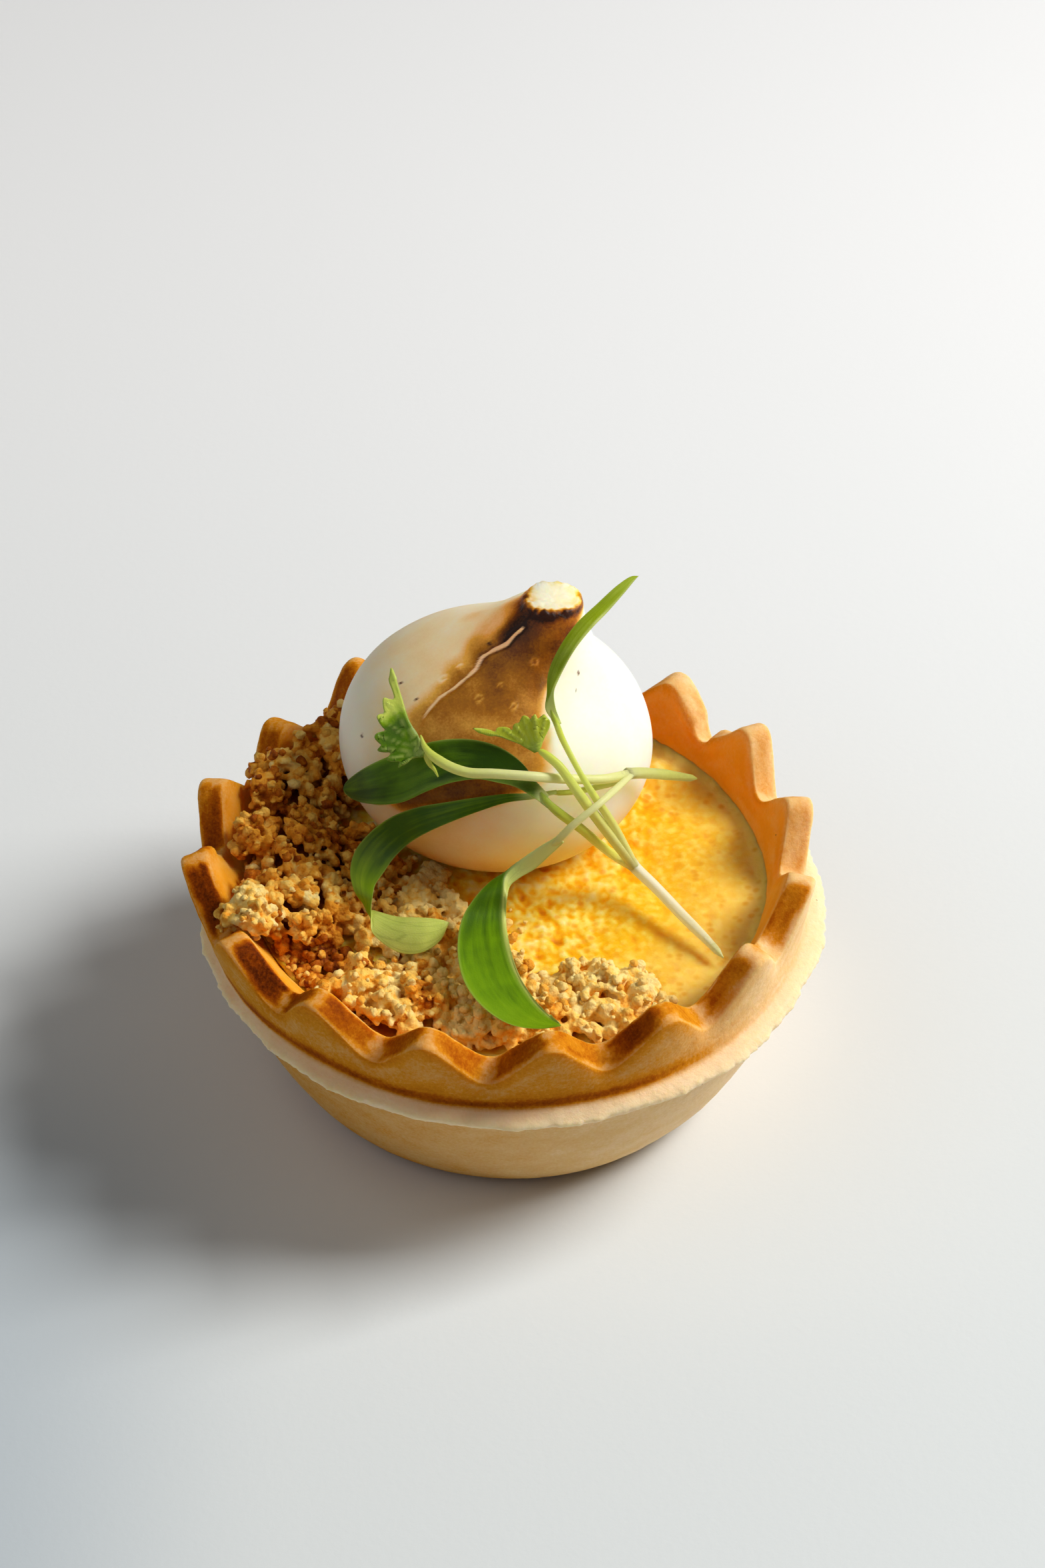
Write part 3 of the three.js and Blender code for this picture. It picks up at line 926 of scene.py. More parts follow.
            # Painted shade along the band's top, under the pleats, away from the light
            shade_under_pleats = 0.10 * step_between(self.crown - 0.5, self.crown, place) * (1 - right)
            return rise + (mix(0.34, 0.12, right) + 0.08 * wobble) * line + shade_under_pleats
        # The inside
        if place > self.crown + 1:
            return 0.36 + 0.16 * ripple(around(angle, 22, 5 * place), 2.2, 16)
        # The pleats: their slopes are browned in patches, their edges stay paler, with painted shade
        across = place - self.crown
        spot = around(angle, 25, 3 * place)
        edge = 0.14 * ripple(spot, 1.3, 13) + 0.07 * ripple(spot, 0.5, 14)
        patch = step_between(0.0, 0.30, across + edge) * step_between(1.08, 0.94, across + edge)
        patch *= step_between(0.01, 0.12, off + 0.5 * edge) * step_between(0.49, 0.41, off + 0.5 * edge)
        # Painted shade on slopes turned away from the light, and the lit right painted paler
        shaded = 0.5 + 0.5 * side * math.cos(angle + math.radians(125))
        brown = along_pairs(self.slope_bake_and_shade, turned) * (0.55 + 0.38 * shaded)
        blotch = 0.14 * ripple(spot, 1.6, 15)
        return mix(0.33, 0.17, right) + patch * (brown + 0.09 * wobble) + (0.35 + 0.65 * patch) * blotch

    def _roughen(self, vertex: BMVert, place: float, bake: object) -> None:
        """Give the dough its grain, and raise its lumps.

        Args:
            vertex: the vertex that moves.
            place: its place on the section.
            bake: the layer that holds how brown it is, with its painted shade.
        """
        if place >= self.inside or place < 1:
            return
        point = vertex.co.copy()
        if place < self.flange - 1:
            grain = 0.03 * ripple(point, 0.9, 1) + 0.09 * ripple(point, 7.0, 4)
            grain *= min(1.0, point.z / 1.5)
        else:
            grain = 0.03 * ripple(point, 0.55, 1) + 0.05 * ripple(point, 1.7, 2)
            grain += 0.09 * ripple(point, 5.5, 4)
        for lump in self.lumps:
            middle = around(math.radians(lump.angle), lump.radius, lump.height, self.crown_shift)
            away = (point - middle).length / lump.reach
            if away < 2.2:
                rough = 1 + 0.35 * ripple(point, 0.6, 8)
                grain += lump.rise * math.exp(-away * away) * rough
                # A pit is sunk and painted near black: painted shade in the hole
                if lump.rise < 0:
                    vertex[bake] = max(vertex[bake], 0.98 * math.exp(-away * away))
        vertex.co = point + vertex.normal * grain


@dataclass
class LemonCustard:
    """The filling: a porous yellow top inside the case, and its sides down to the floor of the case."""

    # Radius and height, from the middle of its top to the middle of its underside
    section: tuple[Pair, ...] = (
        (0.0, 17.18), (20.2, 17.2), (21.45, 17.75), (20.75, 16.4), (20.2, 12.0), (18.9, 7.0), (17.2, 3.6),
        (16.1, 2.7), (0.0, 2.7),
    )
    sectors: int = 12
    steps: int = 40
    top_gap: float = 0.24
    side_gap: float = 2.4
    pit_spacing: float = 1.5

    def build(self) -> None:
        """Spin the filling, then raise its bubbles and sink its pits."""
        rows = spaced(self.section, lambda number: self.top_gap if number < 2 else self.side_gap, 0)
        shell = spun_shell([(row[0], row[1]) for row in rows], self.sectors, self.steps)
        station = shell.verts.layers.float["station"]
        level, crust = add_marks(shell, "level", "crust").values()
        for vertex in shell.verts:
            place = rows[round(vertex[station])][2]
            vertex[level] = 0.5
            if place > 2:
                continue
            point = vertex.co.copy()
            angle = math.atan2(point.x, -point.y)
            radius = math.hypot(point.x, point.y)
            # Bubbles draw out towards the back, so that they look round from the front
            spot = Vector((point.x, 0.75 * point.y, 0))
            lumpy = step_between(13.0, 6.0, point.x - 0.25 * point.y)
            lumps = ripple(spot, 1.0, 3) + 0.8 * ripple(spot, 0.5, 6)
            pits = self._pits(spot) * mix(0.35, 1.0, lumpy)
            swell = 0.06 * math.sin(3 * angle + radius) + 0.05 * math.sin(7 * angle + 0.5 * radius)
            rim = step_between(19.0, 20.8, radius)
            # Painted shade: deep orange at the left, near the wall, on the side away from the light
            shade_at_left_edge = step_between(0.0, -12.0, point.x) * step_between(17.0, 19.5, radius)
            tone = 0.48 + mix(0.05, 0.34, lumpy) * lumps - 0.30 * pits + 0.06 * lumpy
            vertex[level] = tone - 0.9 * shade_at_left_edge
            # Paler near the walls: the custard's baked skin, with painted light where the walls' shadow falls
            front_wall = near_angle(angle, 60, 38) * step_between(11.0, 19.5, radius)
            back_wall = near_angle(angle, 130, 40) * step_between(14, 21, radius)
            grainy = 1 + 0.5 * ripple(point, 0.6, 16)
            pale = (0.6 * front_wall + 0.35 * back_wall + 0.5 * rim) * grainy
            vertex[crust] = min(pale, 0.85) * (1 - shade_at_left_edge)
            vertex.co.z += swell * (1 - rim) + mix(0.05, 0.13, lumpy) * lumps - 0.20 * pits
            vertex.co.z += 0.12 * rim * ripple(point, 2.2, 9)
            # At the left the rim leans outwards with the case
            vertex.co.x -= 0.28 * step_between(20.4, 21.4, radius) * step_between(4.0, -8.0, point.x)
        finish_piece("lemon_custard_set", shell, "lemon_custard", LemonCurd().material())

    def _pits(self, spot: Vector) -> float:
        """Return 1 in a burst bubble's pit and 0 between pits."""
        wanted = step_between(0.4, 0.62, 0.5 + 0.5 * ripple(spot, 2.9, 12))
        return step_between(0.5, 0.1, noise.voronoi(spot / self.pit_spacing)[0][0]) * wanted


@dataclass
class MeringueKiss:
    """The piped meringue: a ball drawn up into a leaning cone, torched, with its tip cut off."""

    middle: Vector = field(default_factory=lambda: Vector((-1.4, 9.1, 25.3)))
    half_sizes: Vector = field(default_factory=lambda: Vector((13.1, 12.5, 9.5)))
    tip: Vector = field(default_factory=lambda: Vector((3.3, 10.5, 39.3)))
    tip_radius: float = 2.5
    # Where the ball's levels lie, in degrees above its middle, and how full its section is
    ball: tuple[int, ...] = (-55, -42, -28, -14, 0, 14, 28, 40)
    fullness: float = 0.82
    # Half width, height, X, Y and half depth of the cone's levels, up to the hollow in the cut tip
    cone: tuple[tuple[float, ...], ...] = (
        (8.7, 33.2, -1.3, 9.4, 7.9), (6.8, 34.8, 0.0, 9.8, 5.7), (4.8, 36.3, 1.5, 10.1, 4.1),
        (3.3, 37.8, 2.6, 10.3, 3.1), (2.6, 38.7, 3.2, 10.45, 2.4), (2.4, 39.15, 3.3, 10.5, 2.2),
        (2.15, 39.3, 3.3, 10.5, 1.97), (1.7, 39.22, 3.3, 10.5, 1.55), (1.1, 39.12, 3.3, 10.5, 1.0),
    )
    hollow: tuple[float, ...] = (0.0, 39.05, 3.3, 10.5, 0.0)
    sectors: int = 8
    steps: int = 48
    foot_gap: float = 3.0
    gap: float = 0.2
    crack: tuple[Point, ...] = (
        (1.0, 8.1, 38.2), (0.2, 7.8, 37.6), (-0.5, 7.3, 37.0), (-1.6, 7.2, 36.4), (-2.5, 6.9, 36.0),
        (-3.0, 6.0, 35.4), (-3.7, 5.5, 35.0), (-4.8, 4.8, 34.4), (-5.9, 4.3, 33.9), (-7.0, 3.3, 33.1),
        (-7.6, 2.3, 32.2),
    )
    # Height and X of the sharp right edge of the browned side, of its soft left edge, and of where it is full
    right_edge: tuple[Pair, ...] = (
        (28.0, 2.6), (30.0, 2.6), (32.0, 2.4), (33.5, 2.4), (34.5, 2.7), (35.4, 3.4), (36.4, 4.2),
        (37.5, 5.0), (38.7, 5.8),
    )
    left_edge: tuple[Pair, ...] = (
        (26.0, -12.5), (28.0, -12.5), (30.8, -11.6), (32.6, -10.4), (34.2, -8.3), (35.5, -5.7), (36.6, -3.7),
        (38.2, -0.8), (39.3, 0.5),
    )
    full_edge: tuple[Pair, ...] = (
        (26.0, -8.4), (29.0, -8.2), (31.2, -7.9), (32.6, -7.1), (33.6, -6.0), (34.9, -3.9), (36.2, -1.9),
        (37.6, 0.0), (39.3, 1.6),
    )
    scorch: tuple[Point, Point] = ((1.6, 9.0, 39.0), (-0.4, 8.3, 37.3))
    # Burnt specks and burst bubbles: middle and radius
    specks: tuple[tuple[Point, float], ...] = (
        ((-1.9, 7.8, 36.6), 0.24), ((-12.4, 4.3, 29.6), 0.2), ((-7.9, 4.5, 33.3), 0.17),
        ((-8.5, 3.9, 32.6), 0.16), ((5.4, 6.3, 34.7), 0.15), ((5.2, 5.1, 33.9), 0.1),
        ((-9.2, 6.6, 33.3), 0.12),
    )
    bubbles: tuple[tuple[Point, float], ...] = (
        ((-5.7, 5.8, 34.5), 0.3), ((-4.3, 6.5, 35.2), 0.22), ((-2.7, 3.6, 34.3), 0.3),
        ((1.8, 5.9, 36.2), 0.3), ((0.1, 2.9, 34.0), 0.25), ((-1.0, 4.4, 35.0), 0.2), ((0.9, 1.9, 33.2), 0.22),
    )

    def levels(self) -> list[list[float]]:
        """List the kiss's levels from its foot to the hollow in its tip.

        Returns:
            Half width, height, X, Y and half depth of each level.
        """
        levels = []
        for degrees in self.ball:
            rise = math.sin(math.radians(degrees))
            reach = math.cos(math.radians(degrees)) ** self.fullness
            levels.append([
                reach * self.half_sizes.x, self.middle.z + rise * self.half_sizes.z,
                self.middle.x - 0.5 * rise, self.middle.y, reach * self.half_sizes.y,
            ])
        levels += [list(level) for level in self.cone]
        foot = [0.0, levels[0][1], self.middle.x, self.middle.y, 0.0]
        return [foot, *self._rounded(levels), list(self.hollow)]

    @staticmethod
    def _rounded(levels: list[list[float]]) -> list[list[float]]:
        """Put two smooth levels between each two, on a curve through all of them.

        Args:
            levels: the levels.

        Returns:
            The longer list of levels.
        """
        rows = []
        for i in range(len(levels) - 1):
            before, first, second = levels[max(i - 1, 0)], levels[i], levels[i + 1]
            after = levels[min(i + 2, len(levels) - 1)]
            for share in (0.0, 1 / 3, 2 / 3):
                square, cube = share * share, share**3
                weights = (
                    0.5 * (-share + 2 * square - cube), 0.5 * (2 - 5 * square + 3 * cube),
                    0.5 * (share + 4 * square - 3 * cube), 0.5 * (cube - square),
                )
                rows.append([
                    sum(weight * value for weight, value in zip(weights, values))
                    for values in zip(before, first, second, after)
                ])
        return [*rows, levels[-1]]

    def build(self) -> None:
        """Spin the kiss, lean it, open its crack and mark where the flame browned it."""
        rows = spaced(self.levels(), lambda number: self.gap if number else self.foot_gap, 2)
        shell = spun_shell([(row[0], row[1]) for row in rows], self.sectors, self.steps)
        station = shell.verts.layers.float["station"]
        marks = add_marks(shell, "toast", "crack", "speck")
        for vertex in shell.verts:
            half_width, height, x, y, half_depth, _ = rows[round(vertex[station])]
            angle = math.atan2(vertex.co.x, -vertex.co.y)
            angle -= 0.35 * math.sin(angle)
            vertex.co = Vector((x + half_width * math.sin(angle), y - half_depth * math.cos(angle), height))
        shell.normal_update()
        line = [Vector(point) for point in self.crack]
        for vertex in shell.verts:
            self._finish_skin(vertex, line, marks)
        finish_piece("meringue_torched", shell, "meringue_kiss", TorchedMeringue().material())

    def _finish_skin(self, vertex: BMVert, line: list[Vector], marks: dict) -> None:
        """Shape and mark the skin at one vertex.

        Args:
            vertex: the vertex.
            line: the crack's points.
            marks: the mesh's layers by name.
        """
        point = vertex.co.copy()
        move = 0.10 * ripple(point, 6.0, 1) * step_between(18.5, 21.0, point.z)
        toast = self._toasting(point, vertex.normal)
        move += 0.03 * ripple(point, 0.5, 2) * min(toast, 1.0)
        away, along = self._from_crack(point, line)
        away += 0.06 * ripple(point, 0.7, 3)
        width = mix(0.17, 0.12, along) * (1 + 0.35 * ripple(point, 1.1, 5))
        width = max(0.01, width * step_between(0.0, 0.04, along) * step_between(1.0, 0.9, along))
        if away < 1.2:
            seam = step_between(width * 1.35, width * 0.75, away)
            vertex[marks["crack"]] = seam
            singed = bell(away, width * 1.5, 0.2) * (1 - seam)
            toast += 0.16 * singed * step_between(0.75, 0.1, along)
            move += -0.12 * bell(away, width * 1.3, 0.14) + 0.05 * seam
        for middle, radius in self.specks:
            spot = (point - Vector(middle)).length / radius
            if spot < 1.5:
                vertex[marks["speck"]] = max(vertex[marks["speck"]], step_between(1.1, 0.7, spot))
        for middle, radius in self.bubbles:
            spot = (point - Vector(middle)).length / radius
            if spot < 2:
                ring = bell(spot, 0.9, 0.35)
                move += 0.10 * ring - 0.08 * bell(spot, 0.0, 0.6)
                toast -= 0.18 * bell(spot, 0.9, 0.4)
        lip = step_between(38.5, 39.0, point.z)
        if lip:
            ragged = 0.24 * ripple(point, 0.9, 4) + 0.16 * ripple(point, 0.4, 5)
            point.z += lip * ragged
            reach = math.hypot(point.x - self.tip.x, (point.y - self.tip.y) * 1.08) / self.tip_radius
            reach += 0.16 * ripple(point, 0.9, 11) + 0.08 * ripple(point, 0.35, 12)
            turn = math.atan2(point.x - self.tip.x, self.tip.y - point.y)
            # Scorched towards the front and the left, white behind
            burnt = 0.3 + 0.8 * max(near_angle(turn, -35, 60), near_angle(turn, 40, 50))
            burnt *= 0.9 + 0.4 * ripple(point, 0.8, 6)
            caramel = 0.45 * step_between(-0.3, 0.4, ripple(point, 1.2, 15)) * step_between(0.35, 0.8, reach)
            caramel *= 0.15 + 0.85 * near_angle(turn, -20, 60)
            toast = mix(toast, 0.07 + caramel + burnt * step_between(0.76, 1.0, reach), lip)
        # Painted warm shade: a light brown tint all over the side away from the light, and at the foot
        warm_shade = 0.09 * step_between(3.0, -5.0, point.x) * step_between(-13.5, -9.5, point.x)
        warm_shade = 0.03 + (warm_shade + 0.12 * step_between(25.0, 19.5, point.z)) * (1 - lip)
        vertex[marks["toast"]] = max(0.0, toast, warm_shade * (1 + 0.3 * ripple(point, 3.0, 14)))
        vertex.co = point + vertex.normal * move

    def _toasting(self, point: Vector, normal: Vector) -> float:
        """Return how far the flame browned the skin, and the painted shadow of the leaves low down.

        Args:
            point: a point of the skin.
            normal: the skin's direction there.

        Returns:
            A share from 0 to about 1.
        """
        wobble = 0.5 * ripple(point, 2.2, 7)
        right = along_pairs(self.right_edge, point.z) + 0.5 * wobble
        left = along_pairs(self.left_edge, point.z) + 1.2 * wobble
        full = along_pairs(self.full_edge, point.z) + 1.0 * wobble
        soft = mix(1.6, 0.5, step_between(30.5, 35.5, point.z))
        edge = step_between(right + soft, right - soft, point.x)
        fade = step_between(left, full, point.x) ** 1.7
        facing = step_between(0.35, -0.1, normal.y - 0.15 * normal.z)
        bottom = 28.6 + 0.28 * (point.x + 2) + 0.8 * wobble
        low = step_between(bottom - 1.2, bottom + 0.8, point.z)
        tone = mix(0.46, 0.60, step_between(33.0, 36.5, point.z)) + 0.12 * ripple(point, 2.4, 8)
        # Darker low down, under the broad leaf: painted shadow of the leaves
        tone += 0.16 * step_between(31.5, 29.0, point.z)
        first, second = (Vector(end) for end in self.scorch)
        share = share_along(point, first, second)
        near = (point - first.lerp(second, share)).length
        tone += 0.36 * bell(near, 0.0, mix(1.7, 1.0, share))
        return tone * edge * fade * facing * low

    @staticmethod
    def _from_crack(point: Vector, line: list[Vector]) -> tuple[float, float]:
        """Measure from the crack.

        Args:
            point: a point of the skin.
            line: the crack's points.

        Returns:
            The distance to the crack, and how far along it that is, from 0 to 1.
        """
        best = (99.0, 0.0)
        for number, (first, second) in enumerate(zip(line, line[1:])):
            share = share_along(point, first, second)
            away = (point - first.lerp(second, share)).length
            if away < best[0]:
                best = (away, (number + share) / (len(line) - 1))
        return best


@dataclass(frozen=True)
class CrumbKind:
    """One kind of loose crumb: its piece's name, its tone from 0 to 1, and the tone that it reaches up to."""

    name: str
    tone: float
    up_to: float


@dataclass(frozen=True)
class Grain:
    """One grain of the heap: its middle, its radius and its tone."""

    middle: Vector
    radius: float
    tone: float


@dataclass
class BiscuitCrumble:
    """The crumble: grains baked together into a knobbly heap, with loose crumbs on it and beside it."""

    seed: int = 20
    core_voxel: float = 0.3
    voxel: float = 0.17
    kept_faces: float = 0.66
    core_smoothing: int = 3
    hollow_smoothing: int = 45
    clump_count: int = 400
    clump_tries: int = 12000
    form_count: int = 9
    # Tries for the loose crumbs: on the heap, along the wall at the left and on the custard
    loose_count: int = 1200
    wall_tries: int = 170
    custard_tries: int = 90
    # Smallest and largest radius
    clump_radii: Pair = (0.55, 2.1)
    grain_radii: Pair = (0.22, 0.50)
    loose_radii: Pair = (0.16, 0.5)
    custard_height: float = 17.3
    kinds: tuple[CrumbKind, ...] = (
        CrumbKind("crumbs_pale", 0.12, 0.34),
        CrumbKind("crumbs_golden", 0.45, 0.68),
        CrumbKind("crumbs_browned", 0.85, math.inf),
    )
    # Where the heap is browner or paler: middle, radius, change of tone
    # The last one darkens the hollow at the front left with painted shade
    spots: tuple[tuple[Point, float, float], ...] = (
        ((-7.2, -15.4, 19.0), 1.5, 0.55), ((1.4, -8.0, 18.6), 1.4, 0.4), ((-17.6, -5.0, 21.0), 3.0, -0.25),
        ((-21.6, -8.3, 21.3), 2.2, -0.4), ((-3.0, -19.0, 18.3), 3.2, -0.3), ((8.0, -13.0, 18.5), 3.0, -0.05),
        ((-12.5, 2.0, 20.0), 2.5, 0.1), ((-15.5, -10.5, 17.5), 2.8, 0.4),
    )
    # Clumps that lie in the rim's dip at the left
    dip_clumps: tuple[tuple[Point, float], ...] = (
        ((-22.6, -8.6, 20.9), 1.5), ((-20.9, -9.2, 21.5), 1.7), ((-21.4, -7.2, 21.6), 1.5),
    )
    # Low crumbs on the custard in the hollows of the heap: middle and radius
    hollows: tuple[tuple[Pair, float], ...] = (
        ((-15.8, -10.4), 2.9), ((-12.2, -11.6), 2.3), ((-8.0, 0.4), 2.6), ((-18.5, -8.6), 1.6),
        ((-9.5, -12.4), 1.6), ((-3.0, -5.6), 2.2),
    )
    chance: random.Random = field(default_factory=random.Random)
    kernels: list[Grain] = field(default_factory=list)  # the solid middles of the clumps
    # Search trees of the finished heap, of the solid's own form, of the meringue and of the case
    heap: BVHTree | None = None
    form: BVHTree | None = None
    kiss: BVHTree | None = None
    case: BVHTree | None = None

    def build(self) -> None:
        """Build the heap and strew its loose crumbs."""
        self.chance = random.Random(self.seed)
        self.kiss = self._solid_tree("meringue_kiss")
        self.case = self._solid_tree("pastry_case")
        core = self._voxelled(self._merged("biscuit_crumble"), self.core_voxel)
        smooth(core, core.verts, self.core_smoothing)
        core.normal_update()
        self.form = BVHTree.FromBMesh(core)
        grains = self._clumps(core)
        self._sink(core)
        heap = self._baked_together(core, grains)
        self.heap = BVHTree.FromBMesh(heap)
        skin = BiscuitCrumb().material()
        finish_piece("crumble_heap", heap, "biscuit_crumble", skin)
        self._strew(self._loose(), skin)

    @staticmethod
    def _merged(node: str) -> BMesh:
        """Return a merged copy of a solid's mesh, in millimetres.

        Args:
            node: the solid's name.

        Returns:
            The copy.
        """
        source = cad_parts[node]
        shape = bmesh.new()
        shape.from_mesh(source.data)
        bmesh.ops.scale(shape, vec=(1 / MM, 1 / MM, 1 / MM), verts=shape.verts)
        bmesh.ops.remove_doubles(shape, verts=shape.verts, dist=SOLID_WELD)
        return shape

    def _solid_tree(self, node: str) -> BVHTree:
        """Return a search tree of a solid's surface.

        Args:
            node: the solid's name.

        Returns:
            The tree.
        """
        shape = self._merged(node)
        tree = BVHTree.FromBMesh(shape)
        shape.free()
        return tree

    @staticmethod
    def _voxelled(shape: BMesh, size: float, kept: float = 1.0) -> BMesh:
        """Melt overlapping forms into one skin of even faces.

        Args:
            shape: the forms, used up here.
            size: the size of the faces.
            kept: the share of the faces that is kept.

        Returns:
            The skin.
        """
        mesh = meshed("melted", shape)
        form = placed("melted", mesh)
        remesh = form.modifiers.new("voxels", "REMESH")
        remesh.mode = "VOXEL"
        remesh.voxel_size = size
        if kept < 1:
            thinned = form.modifiers.new("fewer", "DECIMATE")
            thinned.ratio = kept
        skin = bmesh.new()
        skin.from_object(form, bpy.context.evaluated_depsgraph_get())
        bpy.data.objects.remove(form)
        bpy.data.meshes.remove(mesh)
        skin.normal_update()
        return skin

    def _sink(self, core: BMesh) -> None:
        """Sink the solid's own form a little, so that gaps open between the clumps on it.

        Args:
            core: a copy of the form.
        """
        for vertex in core.verts:
            point = vertex.co.copy()
            depth = mix(0.7, 1.4, self._leftness(point)) + 0.4 * ripple(point, 2.4, 21)
            vertex.co = point - vertex.normal * min(depth, max(0.0, 0.8 * (point.z - self.custard_height)))
        core.normal_update()

    @staticmethod
    def _leftness(point: Vector) -> float:
        """Return 1 on the heap's left side, away from the light, and 0 at the front."""
        return step_between(-6.0, -15.0, point.x - 0.2 * point.y)

    def _room(self, point: Vector) -> float:
        """Return the distance of a point from the meringue and the case.

        Args:
            point: a point.

        Returns:
            The distance, below 0 inside them.
        """
        room = 99.0
        for tree in (self.kiss, self.case):
            nearest, normal, _, distance = tree.find_nearest(point)
            room = min(room, math.copysign(distance, (point - nearest).dot(normal)))
        return room

    def _clumps(self, core: BMesh) -> list[Grain]:
        """Cover the solid's form, the rim's dip and the hollows with clumps of grains.

        Args:
            core: the solid's form.

        Returns:
            The grains.
        """
        clumps = [(Vector(middle), size) for middle, size in self.dip_clumps]
        faces = [
            (face.calc_center_median(), face.normal.copy())
            for face in core.faces
            if face.normal.z > -0.2 and face.calc_center_median().z > self.custard_height
        ]
        for _ in range(self.clump_tries):
            if len(clumps) >= self.clump_count:
                break
            middle, normal = self.chance.choice(faces)
            size = mix(*self.clump_radii, self.chance.random() ** 1.3)
            size *= mix(0.75, 1.0, self._leftness(middle))
            middle = middle - normal * 0.45 * size
            if all((middle - other).length > 0.93 * (size + wide) for other, wide in clumps):
                clumps.append((middle, size))
        for (x, y), reach in self.hollows:
            for _ in range(int(5 * reach * reach)):
                angle, away = self.chance.uniform(0, 2 * math.pi), reach * math.sqrt(self.chance.random())
                spot = Vector((x + away * math.cos(angle), y + away * math.sin(angle), self.custard_height))
                clumps.append((spot, self.chance.uniform(0.3, 0.7)))
        grains: list[Grain] = []
        for middle, size in clumps:
            self._fill_clump(middle, size, grains)
            room = min(0.78 * size, self._room(middle) - 0.1)
            if size > 0.6 and room > 0.3:
                self.kernels.append(Grain(middle, room, 0.0))
        log.info("%d clumps, %d grains", len(clumps), len(grains))
        return grains

    def _fill_clump(self, middle: Vector, size: float, grains: list[Grain]) -> None:
        """Add one clump's grains: most of them on its skin, some of them standing out.

        Args:
            middle: the clump's middle.
            size: its radius.
            grains: the list that its grains are added to.
        """
        tone = self._tone(middle) + self.chance.gauss(0, 0.10)
        own: list[Grain] = []
        for _ in range(int(26 * size * size) + 6):
            way = Vector([self.chance.gauss(lean, 1) for lean in (0, 0, 0.35)]).normalized()
            radius = mix(*self.grain_radii, self.chance.random() ** 1.3)
            spot = middle + way * size * mix(0.72, 1.08, self.chance.random())
            if spot.z < self.custard_height + 0.1 or self._room(spot) < radius + 0.1:
                continue
            if any((other.middle - spot).length < 0.68 * (other.radius + radius) for other in own):
                continue
            own.append(Grain(spot, radius, tone + self.chance.gauss(0, 0.11)))
        grains += own

    def _tone(self, point: Vector) -> float:
        """Return how brown the biscuit is painted at a place, with painted shade, before a grain's own
        chance.

        Args:
            point: the place.

        Returns:
            The tone, from about 0 to 1.
        """
        # Browner on the left, the side away from the light: painted shade
        tone = 0.18 + 0.20 * ripple(point, 2.6, 31) + 0.36 * self._leftness(point)
        for middle, radius, change in self.spots:
            tone += change * bell((point - Vector(middle)).length, 0.0, radius)
        return tone

    def _baked_together(self, core: BMesh, grains: list[Grain]) -> BMesh:
        """Melt the core and its grains into one skin, and mark its tones and the painted shade in its gaps.

        Args:
            core: the solid's form, used up here.
            grains: the grains on it.

        Returns:
            The heap's skin.
        """
        self._add_grains([(core, grain) for grain in (*self.kernels, *grains)])
        skin = self._voxelled(core, self.voxel, self.kept_faces)
        tone, gap = add_marks(skin, "tone", "gap").values()
        tree = KDTree(len(grains))
        for number, grain in enumerate(grains):
            tree.insert(grain.middle, number)
        tree.balance()
        places = [(vertex.co.copy(), vertex.normal.copy()) for vertex in skin.verts]
        # The smoothed skin lies above the hollows
        smooth(skin, skin.verts, self.hollow_smoothing)
        for vertex, (point, normal) in zip(skin.verts, places):
            hollow = (vertex.co - point).dot(normal)
            _, number, away = tree.find(point)
            grain = grains[number]
            nearest, outward, _, _ = self.form.find_nearest(point)
            depth = max(0.0, (nearest - point).dot(outward))
            bare = step_between(1.15, 1.7, away / grain.radius)
            deep = max(bare * step_between(0.2, 0.8, depth), step_between(0.6, 1.5, depth))
            # Painted shade between the clumps, darkest on the left, away from the light; the front stays
            # bright
            shaded = mix(0.1, 1.0, self._leftness(point))
            vertex[gap] = min(1.0, (0.5 * step_between(0.12, 0.8, hollow) + 0.75 * deep) * shaded)
            # Browner where the core lies bare between grains: painted shade too
            vertex[tone] = grain.tone + 0.25 * bare
            vertex.co = point
        return skin

    def _grain_forms(self) -> list[Mesh]:
        """Make a few broken grains of radius 1.

        Returns:
            Their meshes.
        """
        forms = []
        for number in range(self.form_count):
            shape = bmesh.new()
            bmesh.ops.create_icosphere(shape, subdivisions=2, radius=1.0)
            for vertex in shape.verts:
                vertex.co *= 1 + 0.45 * ripple(vertex.co, 0.9, 40 + number) + self.chance.uniform(-0.2, 0.2)
            forms.append(meshed("crumb_form", shape))
        return forms

    def _add_grains(self, wanted: Sequence[tuple[BMesh, Grain]]) -> None:
        """Add grains to shapes, each turned and stretched by chance.

        Args:
            wanted: the grains, each with the shape that it goes into.
        """
        forms = self._grain_forms()
        for shape, grain in wanted:
            form = self.chance.choice(forms).copy()
            turn = Matrix.Rotation(self.chance.uniform(0, 6.28), 4, "Z")
            turn = turn @ Matrix.Rotation(self.chance.uniform(0, 3.14), 4, "X")
            stretch = Matrix.Diagonal((*(grain.radius * self.chance.uniform(0.82, 1.2) for _ in range(3)), 1))
            form.transform(Matrix.Translation(grain.middle) @ turn @ stretch)
            shape.from_mesh(form)
            bpy.data.meshes.remove(form)
        for form in forms:
            bpy.data.meshes.remove(form)

    def _top_at(self, x: float, y: float) -> tuple[Vector, Vector] | None:
        """Find the heap's top at a place.

        Args:
            x: the place in X.
            y: the place in Y.

        Returns:
            The top and its direction, or None where there is no heap.
        """
        hit, normal, _, _ = self.heap.ray_cast(Vector((x, y, 60)), Vector((0, 0, -1)))
        if hit is None or hit.z < self.custard_height:
            return None
        return hit, normal

